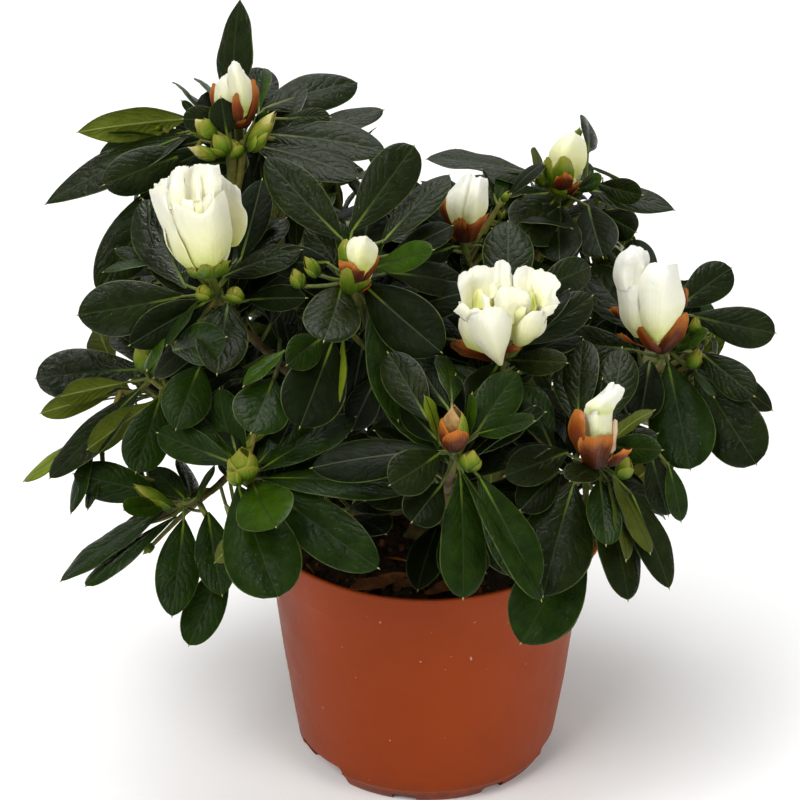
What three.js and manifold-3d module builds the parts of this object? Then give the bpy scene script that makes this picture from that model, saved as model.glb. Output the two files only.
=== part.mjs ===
// A potted azalea: a thin-walled round plastic pot, a root ball, a short forked
// stem, tapering boughs and the masses of foliage that they carry.
// Millimetres, +Z up. The origin is the centre of the pot's flat underside.
// The viewer's side is -Y, and +X is to the viewer's right.
import * as THREE from 'three';
import { mergeVertices } from 'three/addons/utils/BufferGeometryUtils.js';
import Module from 'manifold-3d';

const wasm = await Module();
wasm.setup();

// ---------------------------------------------------------------- dimensions
const GAP = 0.35;               // clearance kept between touching pieces

const POT_RIM_R = 52.5;         // outer radius at the rim (a 10.5 cm pot)
const POT_WALL_FOOT_R = 41.9;   // outer radius where the wall meets the foot
const POT_FOOT_R = 37.8;        // outer radius on the ground, under the rounded foot
const POT_FOOT_H = 4.6;         // the foot rounds in under the wall below this height
const POT_H = 83.7;             // height of the rim
const POT_WALL = 1.2;           // wall thickness
const POT_FLOOR = 10.0;         // height of the floor inside
const POT_COLLAR_H = 13.5;      // band under the rim, set out slightly
const POT_COLLAR_STEP = 0.35;
const POT_SIDES = 36;
const OPENINGS = [              // in the foot: direction from +X, width and height
  [-146.5, 22.8, 8.4], [-101, 8.2, 3.0], [-57, 8.6, 3.2], [-12, 22.8, 8.4],
  [33.5, 22.8, 8.4], [79, 8.2, 3.0], [123, 8.6, 3.2], [168, 22.8, 8.4],
];
const NOTCH_ROUND = 1.8;
const NOTCH_INNER_R = 30;
const BULGE = 5.0;              // the soft rim stands out here, to the right
const BULGE_AT_DEG = 67 - 90;
const BULGE_WIDTH_DEG = 15;
const BULGE_DROP = 15;

const SOIL_TOP = 78.4;          // level of the peat at the stem
const SOIL_DISH = 1.6;          // the peat lies lower at the wall by this much

const STEM_FOOT_R = 8.2;        // short stem, with its flare
const STEM_R = 5.6;
const STEM_TOP_Z = 106;
const FORK_LOW_Z = 89;          // two tiers of forks
const FORK_HIGH_Z = 100;
const BOUGH_R0 = 1.9;           // bough radius at the fork and at its end
const BOUGH_R1 = 1.15;
const BOUGH_SIDES = 6;
const BOUGH_STEPS = 8;

const MASS_DETAIL = 3;          // subdivision of a mass with lobes of its own
const WHORL_DETAIL = 2;         // and of a plain whorl
const MASS_R = 27;              // body of a mass, across its whorls
const MASS_T = 14;              // half thickness of that body
const LOBE_SPREAD_DEG = 18;     // width of a lobe of leaves
const MASS_LEAN = 0.42;         // how far a mass tips outwards

// boughs: name, fork tier, direction of the fork, mass that it enters
const BOUGHS = [
  ['bough_top_left', 1, 168, 'foliage_top_left'],
  ['bough_upper_left', 1, 215, 'foliage_upper_left'],
  ['bough_centre', 1, 262, 'foliage_centre'],
  ['bough_front_centre', 1, 310, 'foliage_front_centre'],
  ['bough_upper_right', 1, 36, 'foliage_upper_right'],
  ['bough_back', 1, 104, 'foliage_back_centre_left'],
  ['bough_left', 0, 190, 'foliage_left'],
  ['bough_front_left', 0, 234, 'foliage_front_left'],
  ['bough_front', 0, 278, 'foliage_front'],
  ['bough_front_right', 0, 322, 'foliage_front_right'],
  ['bough_right', 0, 6, 'foliage_right'],
  ['bough_back_right', 0, 52, 'foliage_back_right'],
  ['bough_back_left', 0, 144, 'foliage_back_left'],
];

// masses: name, centre, then lobes as direction in plan, rise and reach;
// a single number in place of the lobes is a whorl of that reach
const MASSES = [
  ['foliage_top_left', [-58, 10, 208], [[-145, -34, 63], [-180, 5, 50], [-168, -12, 62], [117, 6, 48], [88, 53, 48], [38, 11, 48], [-8, 2, 47]]],
  ['foliage_upper_left', [-64, -40, 183], [[-110, -44, 45], [-168, -5, 42], [59, 45, 38], [130, 32, 37], [-20, 5, 30], [-80, -7, 27]]],
  ['foliage_left', [-87, -10, 139], [[-164, -36, 52], [-174, 3, 37], [-97, -37, 33], [-137, -44, 47], [113, 5, 32], [18, 46, 29]]],
  ['foliage_lower_left', [-78, -30, 104], [[-81, -54, 44], [-154, -23, 44], [175, 17, 35], [89, 4, 27], [-133, 19, 25]]],
  ['foliage_front_left', [-55, -75, 140], [[-8, -1, 51], [-26, -25, 50], [-68, -42, 40], [24, 17, 39], [-70, -2, 33], [154, 14, 30], [106, 25, 29]]],
  ['foliage_centre', [-23, -45, 189], [[-116, -44, 48], [139, 41, 46], [52, 47, 46], [-63, -48, 45], [-16, 5, 37], [-36, -24, 36]]],
  ['foliage_inner', [11, 10, 177], 28],
  ['foliage_upper_right', [42, 35, 182], [[176, 13, 45], [-16, -3, 38], [72, 20, 36], [-92, -19, 33], [-138, -7, 31]]],
  ['foliage_front_centre', [23, -50, 168], [[88, 46, 42], [45, 23, 41], [-179, 14, 32], [-118, -13, 25], [-42, 10, 25]]],
  ['foliage_right', [75, -10, 149], [[-40, -41, 45], [-79, -41, 41], [110, 39, 40], [175, 4, 38], [42, 30, 36], [-2, 11, 35], [-9, -29, 38]]],
  ['foliage_front_right', [51, -70, 141], [[-128, -49, 59], [-77, -48, 43], [-51, -43, 43], [98, 41, 40], [-157, 4, 32], [-15, -34, 30]]],
  ['foliage_front', [8, -85, 154], [[-48, -44, 51], [-85, -57, 44], [-174, -5, 43], [132, 35, 37], [44, 33, 31], [-25, 31, 29]]],
  ['foliage_back_left', [-72, 52, 152], 36],
  ['foliage_back_centre_left', [-30, 82, 147], 35],
  ['foliage_back_centre_right', [22, 86, 142], 34],
  ['foliage_back_right', [60, 60, 140], 35],
  ['foliage_side_left', [-84, 34, 122], 30],
  ['foliage_inner_back', [0, 44, 156], 28],
  ['foliage_low_back_left', [-46, 84, 112], 33],
  ['foliage_low_back_right', [42, 84, 108], 33],
  ['foliage_side_right', [84, 28, 118], 31],
];

const COLOURS = {
  pot: [0x8f4024, 0.5], soil: [0x241a12, 0.95], wood: [0x6a5a3a, 0.85],
  leaf: [0x1d3418, 0.5], leafLow: [0x2c4a1c, 0.5],
};

// ------------------------------------------------------------------- helpers
const rad = THREE.MathUtils.degToRad;
const polar = (azDeg, elDeg, r = 1) => new THREE.Vector3(
  r * Math.cos(rad(azDeg)) * Math.cos(rad(elDeg)),
  r * Math.sin(rad(azDeg)) * Math.cos(rad(elDeg)),
  r * Math.sin(rad(elDeg)));

// a seeded sequence, so that every build gives the same shape
function seeded(seed) {
  let s = seed >>> 0;
  return () => { s = (Math.imul(s, 1664525) + 1013904223) >>> 0; return s / 4294967296; };
}

function volumeOf(g) {
  const p = g.attributes.position, i = g.index.array;
  const a = new THREE.Vector3(), b = new THREE.Vector3(), c = new THREE.Vector3();
  let v = 0;
  for (let k = 0; k < i.length; k += 3) {
    a.fromBufferAttribute(p, i[k]); b.fromBufferAttribute(p, i[k + 1]); c.fromBufferAttribute(p, i[k + 2]);
    v += a.dot(b.cross(c)) / 6;
  }
  return v;
}

// merge the shared vertices, drop the empty triangles and face them outwards
function closed(geometry) {
  const g = geometry.clone();
  g.deleteAttribute('normal');
  g.deleteAttribute('uv');
  const m = mergeVertices(g, 1e-3);
  const keep = [], i = m.index.array;
  for (let k = 0; k < i.length; k += 3) {
    const [a, b, c] = [i[k], i[k + 1], i[k + 2]];
    if (a !== b && b !== c && a !== c) keep.push(a, b, c);
  }
  m.setIndex(keep);
  if (volumeOf(m) < 0) {
    for (let k = 0; k < keep.length; k += 3) [keep[k + 1], keep[k + 2]] = [keep[k + 2], keep[k + 1]];
    m.setIndex(keep);
  }
  return m;
}

function toSolid(geometry) {
  const g = closed(geometry);
  return new wasm.Manifold(new wasm.Mesh({
    numProp: 3,
    vertProperties: new Float32Array(g.attributes.position.array),
    triVerts: new Uint32Array(g.index.array),
  }));
}

function fromSolid(solid) {
  const m = solid.getMesh();
  const g = new THREE.BufferGeometry();
  const pos = new Float32Array(m.numVert * 3);
  for (let k = 0; k < m.numVert; k++) {
    for (let j = 0; j < 3; j++) pos[3 * k + j] = m.vertProperties[k * m.numProp + j];
  }
  g.setAttribute('position', new THREE.BufferAttribute(pos, 3));
  g.setIndex(Array.from(m.triVerts));
  return g;
}

// the largest body of a cut solid
function largest(solid) {
  return solid.decompose().sort((a, b) => b.volume() - a.volume())[0];
}

// a tapering limb of round section along a curve, closed at both ends
function limb(points, radiusAt, sides, steps) {
  const curve = new THREE.CatmullRomCurve3(points, false, 'centripetal');
  const frames = curve.computeFrenetFrames(steps, false);
  const pos = [], index = [];
  for (let k = 0; k <= steps; k++) {
    const c = curve.getPointAt(k / steps), r = radiusAt(k / steps);
    for (let j = 0; j < sides; j++) {
      const a = (2 * Math.PI * j) / sides;
      const q = c.clone().addScaledVector(frames.normals[k], r * Math.cos(a))
        .addScaledVector(frames.binormals[k], r * Math.sin(a));
      pos.push(q.x, q.y, q.z);
    }
  }
  for (let k = 0; k < steps; k++) {
    for (let j = 0; j < sides; j++) {
      const a = k * sides + j, b = k * sides + (j + 1) % sides;
      index.push(a, b, b + sides, a, b + sides, a + sides);
    }
  }
  const ends = [curve.getPointAt(0), curve.getPointAt(1)];
  ends.forEach((c, e) => {
    pos.push(c.x, c.y, c.z);
    const m = pos.length / 3 - 1, row = e * steps * sides;
    for (let j = 0; j < sides; j++) index.push(m, row + (j + (e ? 0 : 1)) % sides, row + (j + (e ? 1 : 0)) % sides);
  });
  const g = new THREE.BufferGeometry();
  g.setAttribute('position', new THREE.BufferAttribute(new Float32Array(pos), 3));
  g.setIndex(index);
  return closed(g);
}

// ----------------------------------------------------------------------- pot
const wallR = (z) => POT_WALL_FOOT_R
  + (POT_RIM_R - POT_COLLAR_STEP - POT_WALL_FOOT_R) * (z - POT_FOOT_H) / (POT_H - POT_FOOT_H);

function turned(profile, sides) {
  const g = new THREE.LatheGeometry(profile.map(([r, z]) => new THREE.Vector2(r, z)), sides);
  g.rotateX(Math.PI / 2);
  return g;
}

// the soft rim is out of round: it stands out on one side, above the band
function outOfRound(g) {
  const p = g.attributes.position;
  for (let k = 0; k < p.count; k++) {
    const x = p.getX(k), y = p.getY(k), z = p.getZ(k), r = Math.hypot(x, y);
    if (r < 1) continue;
    let d = THREE.MathUtils.radToDeg(Math.atan2(y, x)) - BULGE_AT_DEG;
    d = ((d + 540) % 360) - 180;
    const up = THREE.MathUtils.smoothstep(z, POT_H - BULGE_DROP, POT_H);
    const s = 1 + (BULGE * up * Math.exp(-((d / BULGE_WIDTH_DEG) ** 2))) / POT_RIM_R;
    p.setXYZ(k, x * s, y * s, z);
  }
  return g;
}

function makePot() {
  const zc = POT_H - POT_COLLAR_H;
  const inner = (z) => wallR(z) - POT_WALL;
  const body = toSolid(outOfRound(turned([
    [0, 0], [NOTCH_INNER_R - 3, 0], [POT_FOOT_R, 0], [POT_FOOT_R + 0.7, 0.6], [POT_FOOT_R + 1.8, 2.3],
    [POT_FOOT_R + 3.1, POT_FOOT_H - 0.2], [wallR(POT_FOOT_H + 1.6) - 0.1, POT_FOOT_H + 1.6],
    [wallR(zc), zc], [wallR(zc) + POT_COLLAR_STEP, zc + 0.7],
    [wallR(POT_H - 5) + POT_COLLAR_STEP, POT_H - 5],
    [POT_RIM_R, POT_H - 0.5], [POT_RIM_R - 0.4, POT_H], [POT_RIM_R - 1.2, POT_H],
    [inner(POT_H - 0.5) + 0.1, POT_H - 0.6], [inner(POT_H - 5), POT_H - 5], [inner(zc), zc],
    [inner(POT_FLOOR + 3), POT_FLOOR + 3], [inner(POT_FLOOR) - 3, POT_FLOOR], [0, POT_FLOOR],
  ], POT_SIDES)));
  // openings between the feet, rounded at the top, running in under the floor
  let pot = body;
  for (const [deg, width, height] of OPENINGS) {
    const s = new THREE.Shape();
    const w = width / 2, r = Math.min(NOTCH_ROUND, height * 0.45);
    s.moveTo(-w, -2); s.lineTo(w, -2); s.lineTo(w, height - r);
    s.quadraticCurveTo(w, height, w - r, height);
    s.lineTo(-w + r, height);
    s.quadraticCurveTo(-w, height, -w, height - r);
    s.closePath();
    const g = new THREE.ExtrudeGeometry(s, { depth: 24, bevelEnabled: false, curveSegments: 1 });
    g.rotateX(Math.PI / 2);                       // section upright, depth along -Y
    g.rotateZ(Math.PI / 2);                       // depth along +X
    g.translate(NOTCH_INNER_R, 0, 0);
    g.rotateZ(rad(deg));
    pot = pot.subtract(toSolid(g));
  }
  return pot;
}

// ---------------------------------------------------------------------- soil
function makeSoil() {
  const inner = (z) => wallR(z) - POT_WALL - GAP;
  const edge = SOIL_TOP - SOIL_DISH;
  const g = turned([
    [0, POT_FLOOR + GAP], [inner(POT_FLOOR) - 3.8, POT_FLOOR + GAP], [inner(POT_FLOOR + 3.4), POT_FLOOR + 3.6],
    [inner(40), 40], [inner(edge - 1.2), edge - 1.2], [inner(edge) - 2, edge],
    [34, SOIL_TOP - 0.9], [22, SOIL_TOP - 0.2], [11, SOIL_TOP], [0, SOIL_TOP],
  ], 28);
  const p = g.attributes.position;
  for (let k = 0; k < p.count; k++) {
    const x = p.getX(k), y = p.getY(k), z = p.getZ(k), r = Math.hypot(x, y);
    if (z > edge - 0.5 && r > 12) p.setZ(k, z + 0.9 * Math.sin(0.21 * x + 1) * Math.cos(0.17 * y));
  }
  return toSolid(g);
}

// ------------------------------------------------------------- stem and boughs
const stemPoints = [[0, 0, SOIL_TOP + GAP], [0.3, -0.3, 88], [0.9, 0.2, 97], [0.4, 0.6, STEM_TOP_Z]]
  .map((a) => new THREE.Vector3(...a));
const stemRadius = (extra) => (t) => extra + STEM_R - 0.9 * t + (STEM_FOOT_R - STEM_R) * Math.exp(-t * 9);

function boughPoints([, tier, forkDeg, massName]) {
  const c = new THREE.Vector3(...MASSES.find((m) => m[0] === massName)[1]);
  const z0 = tier ? FORK_HIGH_Z : FORK_LOW_Z;
  const start = new THREE.Vector3(0.5, 0.1, z0 - 2);
  const p1 = new THREE.Vector3(0.5, 0.1, z0 + (tier ? 5 : 3)).add(polar(forkDeg, 0, tier ? 10 : 13));
  const p2 = p1.clone().lerp(c, 0.5).add(new THREE.Vector3(0, 0, tier ? -3 : -7));
  const end = p2.clone().lerp(c, 0.9);
  return [start, p1, p2, end];
}
const boughRadius = (extra) => (t) => extra + BOUGH_R0 + (BOUGH_R1 - BOUGH_R0) * t;

// ------------------------------------------------------------------- foliage
// each mass keeps to its own side of the planes halfway to its neighbours
function makeMass([name, centre, lobes], number) {
  const random = seeded(number * 97 + 5);
  const c = new THREE.Vector3(...centre);
  const axis = new THREE.Vector3(c.x, c.y, 0).normalize().multiplyScalar(MASS_LEAN);
  axis.z = 1; axis.normalize();
  const whorl = typeof lobes === 'number';
  const reach = whorl ? [] : lobes;
  if (whorl) {
    const n = 6, turn = random() * 60;
    for (let k = 0; k < n; k++) {
      const d = polar(turn + (360 / n) * k + 14 * (random() - 0.5), -8 - 22 * random());
      reach.push([THREE.MathUtils.radToDeg(Math.atan2(d.y, d.x)),
        THREE.MathUtils.radToDeg(Math.asin(d.z)), lobes * (0.88 + 0.2 * random())]);
    }
  }
  const phase = [random() * 6, random() * 6, random() * 6];
  const g = closed(new THREE.IcosahedronGeometry(1, whorl ? WHORL_DETAIL : MASS_DETAIL));
  const p = g.attributes.position;
  const dirs = [];
  for (let k = 0; k < p.count; k++) dirs.push(new THREE.Vector3().fromBufferAttribute(p, k).normalize());
  const tips = new Map();
  for (const [az, el, r] of reach) {
    const d = polar(az, el);
    let best = -1, at = 0;
    dirs.forEach((v, k) => { const q = v.dot(d); if (q > best && !tips.has(k)) { best = q; at = k; } });
    tips.set(at, r);
    dirs[at] = d;
  }
  const spread = rad(LOBE_SPREAD_DEG);
  for (let k = 0; k < p.count; k++) {
    const d = dirs[k];
    const up = d.dot(axis);
    const base = 1 / Math.sqrt((1 - up * up) / MASS_R ** 2 + (up * up) / MASS_T ** 2);
    let r = base * (1 + 0.07 * Math.sin(4 * d.x + phase[0]) * Math.cos(5 * d.y + phase[1]) + 0.05 * Math.sin(6 * d.z + phase[2]));
    for (const [az, el, lobe] of reach) {
      const a = polar(az, el).angleTo(d);
      r = Math.max(r, base + (lobe - base) * 0.92 * Math.exp(-((a / spread) ** 2)));
    }
    if (tips.has(k)) r = tips.get(k);
    for (const [other, oc] of MASSES) {
      if (other === name) continue;
      const n = new THREE.Vector3(...oc).sub(c);
      const half = n.length() / 2 - GAP / 2;
      const q = n.normalize().dot(d);
      if (q > 1e-3) r = Math.min(r, half / q);
    }
    p.setXYZ(k, c.x + d.x * r, c.y + d.y * r, c.z + d.z * r);
  }
  return toSolid(g);
}

// ------------------------------------------------------------------- assembly
const azalea = new THREE.Group();
function add(name, solid, [colour, roughness]) {
  const mesh = new THREE.Mesh(fromSolid(solid),
    new THREE.MeshStandardMaterial({ color: colour, roughness, metalness: 0 }));
  mesh.name = name;
  azalea.add(mesh);
}

add('pot', makePot(), COLOURS.pot);
add('root_ball', makeSoil(), COLOURS.soil);
add('stem', toSolid(limb(stemPoints, stemRadius(0), 10, 7)), COLOURS.wood);

const stemRoom = toSolid(limb(stemPoints, stemRadius(GAP), 10, 7));
let limbRoom = stemRoom;
for (const b of BOUGHS) {
  const points = boughPoints(b);
  const bough = largest(toSolid(limb(points, boughRadius(0), BOUGH_SIDES, BOUGH_STEPS)).subtract(stemRoom));
  add(b[0], bough, COLOURS.wood);
  limbRoom = limbRoom.add(toSolid(limb(points, boughRadius(GAP + 0.1), BOUGH_SIDES, BOUGH_STEPS)));
}

const potRoom = toSolid(turned([[0, -4], [POT_WALL_FOOT_R + 1.3, -4], [wallR(30) + 1, 20], [POT_RIM_R + BULGE + 1, POT_H - 14],
  [POT_RIM_R + BULGE + 1, POT_H + 1], [0, POT_H + 1]], 32));
MASSES.forEach((m, k) => {
  const solid = largest(makeMass(m, k + 1).subtract(limbRoom).subtract(potRoom));
  add(m[0], solid, m[1][2] < 130 ? COLOURS.leafLow : COLOURS.leaf);
});

export default azalea;
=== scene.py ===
import math

import bpy
import numpy as np
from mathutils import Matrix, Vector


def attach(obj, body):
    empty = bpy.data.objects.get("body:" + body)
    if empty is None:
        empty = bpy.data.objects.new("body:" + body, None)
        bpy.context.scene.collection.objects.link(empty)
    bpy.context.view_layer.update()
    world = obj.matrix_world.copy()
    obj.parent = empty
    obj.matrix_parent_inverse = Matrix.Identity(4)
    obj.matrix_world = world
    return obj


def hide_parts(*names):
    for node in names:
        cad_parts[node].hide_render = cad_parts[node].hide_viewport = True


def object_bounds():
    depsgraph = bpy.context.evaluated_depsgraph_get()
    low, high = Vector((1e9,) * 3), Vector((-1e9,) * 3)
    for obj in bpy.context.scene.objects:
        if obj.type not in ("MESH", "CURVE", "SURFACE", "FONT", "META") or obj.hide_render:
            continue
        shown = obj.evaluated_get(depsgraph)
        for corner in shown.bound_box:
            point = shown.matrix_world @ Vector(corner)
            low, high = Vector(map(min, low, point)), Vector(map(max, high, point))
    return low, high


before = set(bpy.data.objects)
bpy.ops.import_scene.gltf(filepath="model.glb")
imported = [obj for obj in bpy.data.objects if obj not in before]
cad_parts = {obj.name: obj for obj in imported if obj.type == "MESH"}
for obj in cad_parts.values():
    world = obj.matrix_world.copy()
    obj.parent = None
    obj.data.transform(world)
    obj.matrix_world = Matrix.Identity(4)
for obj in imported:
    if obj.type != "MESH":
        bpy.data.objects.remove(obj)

# A potted azalea: glossy dark leaves in whorls, white blooms and buds with rusty
# scales, woody stems, peat and a thin plastic pot. Worked in millimetres and made
# in metres. -Y is the viewer's side.

CAD_BOX = [[float(v) for v in corner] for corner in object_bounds()]
MM = 0.001

# ------------------------------------------------------------------ the viewpoint
CAM_TARGET = np.array([-8.65, 0.0, 125.9])
CAM_DIST = 1100.0
CAM_PITCH = math.radians(27.46)
FOCAL_PX = 3482.3           # for an image of 800 by 800
FWD = np.array([0.0, math.cos(CAM_PITCH), -math.sin(CAM_PITCH)])
RIGHT = np.array([1.0, 0.0, 0.0])
UP = np.array([0.0, math.sin(CAM_PITCH), math.cos(CAM_PITCH)])
EYE = CAM_TARGET - FWD * CAM_DIST


def at_y(px, py, y):
    d = FWD + RIGHT * ((px - 400) / FOCAL_PX) + UP * ((400 - py) / FOCAL_PX)
    return EYE + d * ((y - EYE[1]) / d[1])


def at_depth(px, py, z):
    return EYE + (FWD + RIGHT * ((px - 400) / FOCAL_PX) + UP * ((400 - py) / FOCAL_PX)) * z


def depth(p):
    return float((np.asarray(p) - EYE) @ FWD)


def pixel(p):
    d = np.asarray(p, float) - EYE
    z = d @ FWD
    return np.stack([400 + FOCAL_PX * (d @ RIGHT) / z, 400 - FOCAL_PX * (d @ UP) / z], -1)


def unit(v):
    v = np.asarray(v, float)
    return v / np.maximum(np.linalg.norm(v, axis=-1, keepdims=True), 1e-12)


def lin(r, g, b):
    f = lambda c: c / 12.92 if c <= 0.04045 else ((c + 0.055) / 1.055) ** 2.4
    return (f(r / 255), f(g / 255), f(b / 255), 1.0)


# ------------------------------------------------------------------ materials
def base_mat(name):
    m = bpy.data.materials.new(name)
    m.use_nodes = True
    nt = m.node_tree
    return m, nt, nt.nodes["Principled BSDF"]


def noise(nt, co, scale, detail=3.0, rough=0.55, dist=0.0):
    n = nt.nodes.new("ShaderNodeTexNoise")
    n.inputs["Scale"].default_value = scale
    n.inputs["Detail"].default_value = detail
    n.inputs["Roughness"].default_value = rough
    n.inputs["Distortion"].default_value = dist
    nt.links.new(co, n.inputs["Vector"])
    return n.outputs["Fac"]


def ramp(nt, fac, stops):
    r = nt.nodes.new("ShaderNodeValToRGB")
    e = r.color_ramp.elements
    while len(e) < len(stops):
        e.new(0.5)
    for k, (p, c) in enumerate(stops):
        e[k].position = p
        e[k].color = c
    nt.links.new(fac, r.inputs["Fac"])
    return r.outputs["Color"]


def remap(nt, fac, a, b, lo, hi):
    n = nt.nodes.new("ShaderNodeMapRange")
    for i, v in zip(("From Min", "From Max", "To Min", "To Max"), (a, b, lo, hi)):
        n.inputs[i].default_value = v
    nt.links.new(fac, n.inputs["Value"])
    return n.outputs["Result"]


def calc(nt, op, a, b=None):
    n = nt.nodes.new("ShaderNodeMath")
    n.operation = op
    for k, v in enumerate((a, b)):
        if v is None:
            continue
        if hasattr(v, "is_output"):
            nt.links.new(v, n.inputs[k])
        else:
            n.inputs[k].default_value = v
    return n.outputs[0]


def bumped(nt, b, height, strength, dist):
    n = nt.nodes.new("ShaderNodeBump")
    n.inputs["Strength"].default_value = strength
    n.inputs["Distance"].default_value = dist
    nt.links.new(height, n.inputs["Height"])
    nt.links.new(n.outputs["Normal"], b.inputs["Normal"])


def leaf_mat(name, c1, c2, rough=(0.3, 0.5), grain=0.25, vein=0.2, spec=0.16, lumps=0.25):
    m, nt, b = base_mat(name)
    tc = nt.nodes.new("ShaderNodeTexCoord")
    ob, uv = tc.outputs["Object"], tc.outputs["UV"]
    n1 = noise(nt, ob, 160, 4)
    nt.links.new(ramp(nt, n1, [(0.35, c1), (0.65, c2)]), b.inputs["Base Color"])
    nt.links.new(remap(nt, noise(nt, ob, 420, 3), 0.35, 0.65, *rough), b.inputs["Roughness"])
    b.inputs["Specular IOR Level"].default_value = spec
    # sunk side veins that leave the midrib and run on towards the tip, the blade swelling between them
    sp = nt.nodes.new("ShaderNodeSeparateXYZ")
    nt.links.new(uv, sp.inputs[0])
    across = calc(nt, "ABSOLUTE", calc(nt, "SUBTRACT", calc(nt, "MULTIPLY", sp.outputs[1], 2.0), 1.0))
    q = calc(nt, "SUBTRACT", calc(nt, "MULTIPLY", sp.outputs[0], 23.0), calc(nt, "MULTIPLY", across, 8.0))
    q = calc(nt, "ADD", q, calc(nt, "MULTIPLY", noise(nt, ob, 190, 2), 7.0))
    wave = calc(nt, "POWER", calc(nt, "ABSOLUTE", calc(nt, "SINE", q)), 0.6)
    h = calc(nt, "ADD", calc(nt, "MULTIPLY", wave, vein), calc(nt, "MULTIPLY", noise(nt, ob, 1300, 3, 0.6), grain))
    h = calc(nt, "ADD", h, calc(nt, "MULTIPLY", noise(nt, ob, 300, 3, 0.5, 0.8), lumps * 2.0))
    bumped(nt, b, h, 0.6, 0.0007)
    return m


def plain_mat(name, c1, c2, scale=300, rough=(0.4, 0.6), bump=0.0, bscale=900, spec=0.5, sss=0.0, stops=(0.35, 0.65), third=None):
    m, nt, b = base_mat(name)
    ob = nt.nodes.new("ShaderNodeTexCoord").outputs["Object"]
    steps = [(stops[0], c1), (stops[1], c2)] + ([third] if third else [])
    nt.links.new(ramp(nt, noise(nt, ob, scale, 4), steps), b.inputs["Base Color"])
    nt.links.new(remap(nt, noise(nt, ob, scale * 1.7, 3), 0.35, 0.65, *rough), b.inputs["Roughness"])
    b.inputs["Specular IOR Level"].default_value = spec
    if sss:
        b.inputs["Subsurface Weight"].default_value = sss
        b.inputs["Subsurface Radius"].default_value = (0.004, 0.0035, 0.002)
        b.inputs["Subsurface Scale"].default_value = 0.6
    if bump:
        bumped(nt, b, noise(nt, ob, bscale, 5), bump, 0.0006)
    return m


def rib_mat(name, foot, far):
    """The midrib: pale where it leaves the stalk, fading into the blade."""
    m, nt, b = base_mat(name)
    tc = nt.nodes.new("ShaderNodeTexCoord")
    sp = nt.nodes.new("ShaderNodeSeparateXYZ")
    nt.links.new(tc.outputs["UV"], sp.inputs[0])
    along = calc(nt, "ADD", sp.outputs[0], calc(nt, "MULTIPLY", calc(nt, "SUBTRACT", noise(nt, tc.outputs["Object"], 240, 3), 0.5), 0.3))
    nt.links.new(ramp(nt, along, [(0.0, foot), (0.36, far)]), b.inputs["Base Color"])
    b.inputs["Roughness"].default_value = 0.5
    b.inputs["Specular IOR Level"].default_value = 0.3
    bumped(nt, b, noise(nt, tc.outputs["Object"], 900, 3), 0.2, 0.0004)
    return m


def petal_mat(name, base, mid, rim, sss=0.6):
    m, nt, b = base_mat(name)
    tc = nt.nodes.new("ShaderNodeTexCoord")
    sp = nt.nodes.new("ShaderNodeSeparateXYZ")
    nt.links.new(tc.outputs["UV"], sp.inputs[0])
    along = calc(nt, "ADD", sp.outputs[0], calc(nt, "MULTIPLY", calc(nt, "SUBTRACT", noise(nt, tc.outputs["Object"], 220, 3), 0.5), 0.25))
    nt.links.new(ramp(nt, along, [(0.05, base), (0.42, mid), (0.85, rim)]), b.inputs["Base Color"])
    b.inputs["Roughness"].default_value = 0.55
    b.inputs["Specular IOR Level"].default_value = 0.3
    b.inputs["Subsurface Weight"].default_value = sss
    b.inputs["Subsurface Radius"].default_value = (0.0034, 0.0031, 0.0022)
    b.inputs["Subsurface Scale"].default_value = 1.0
    fan = calc(nt, "SINE", calc(nt, "MULTIPLY", sp.outputs[1], 85.0))
    h = calc(nt, "ADD", calc(nt, "MULTIPLY", fan, 0.04), noise(nt, tc.outputs["Object"], 300, 4, 0.6, 0.5))
    bumped(nt, b, h, 0.4, 0.001)
    return m


def scale_mat(name, foot, mid, rim, blotch=0.5):
    """A bud scale: dark at its foot, lighter to a thin dry rim, streaked lengthwise."""
    m, nt, b = base_mat(name)
    tc = nt.nodes.new("ShaderNodeTexCoord")
    sp = nt.nodes.new("ShaderNodeSeparateXYZ")
    nt.links.new(tc.outputs["UV"], sp.inputs[0])
    across = calc(nt, "ABSOLUTE", calc(nt, "SUBTRACT", calc(nt, "MULTIPLY", sp.outputs[1], 2.0), 1.0))
    along = calc(nt, "ADD", sp.outputs[0], calc(nt, "MULTIPLY", calc(nt, "POWER", across, 4.0), 0.25))
    along = calc(nt, "ADD", along, calc(nt, "MULTIPLY", calc(nt, "SUBTRACT", noise(nt, tc.outputs["Object"], 330, 4, 0.6), 0.5), blotch))
    nt.links.new(ramp(nt, along, [(0.05, foot), (0.52, mid), (0.92, rim)]), b.inputs["Base Color"])
    nt.links.new(remap(nt, noise(nt, tc.outputs["Object"], 500, 3), 0.35, 0.65, 0.38, 0.56), b.inputs["Roughness"])
    b.inputs["Specular IOR Level"].default_value = 0.25
    streak = calc(nt, "SINE", calc(nt, "MULTIPLY", sp.outputs[1], 60.0))
    bumped(nt, b, calc(nt, "ADD", calc(nt, "MULTIPLY", streak, 0.12), noise(nt, tc.outputs["Object"], 800, 4)), 0.5, 0.0006)
    return m


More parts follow.
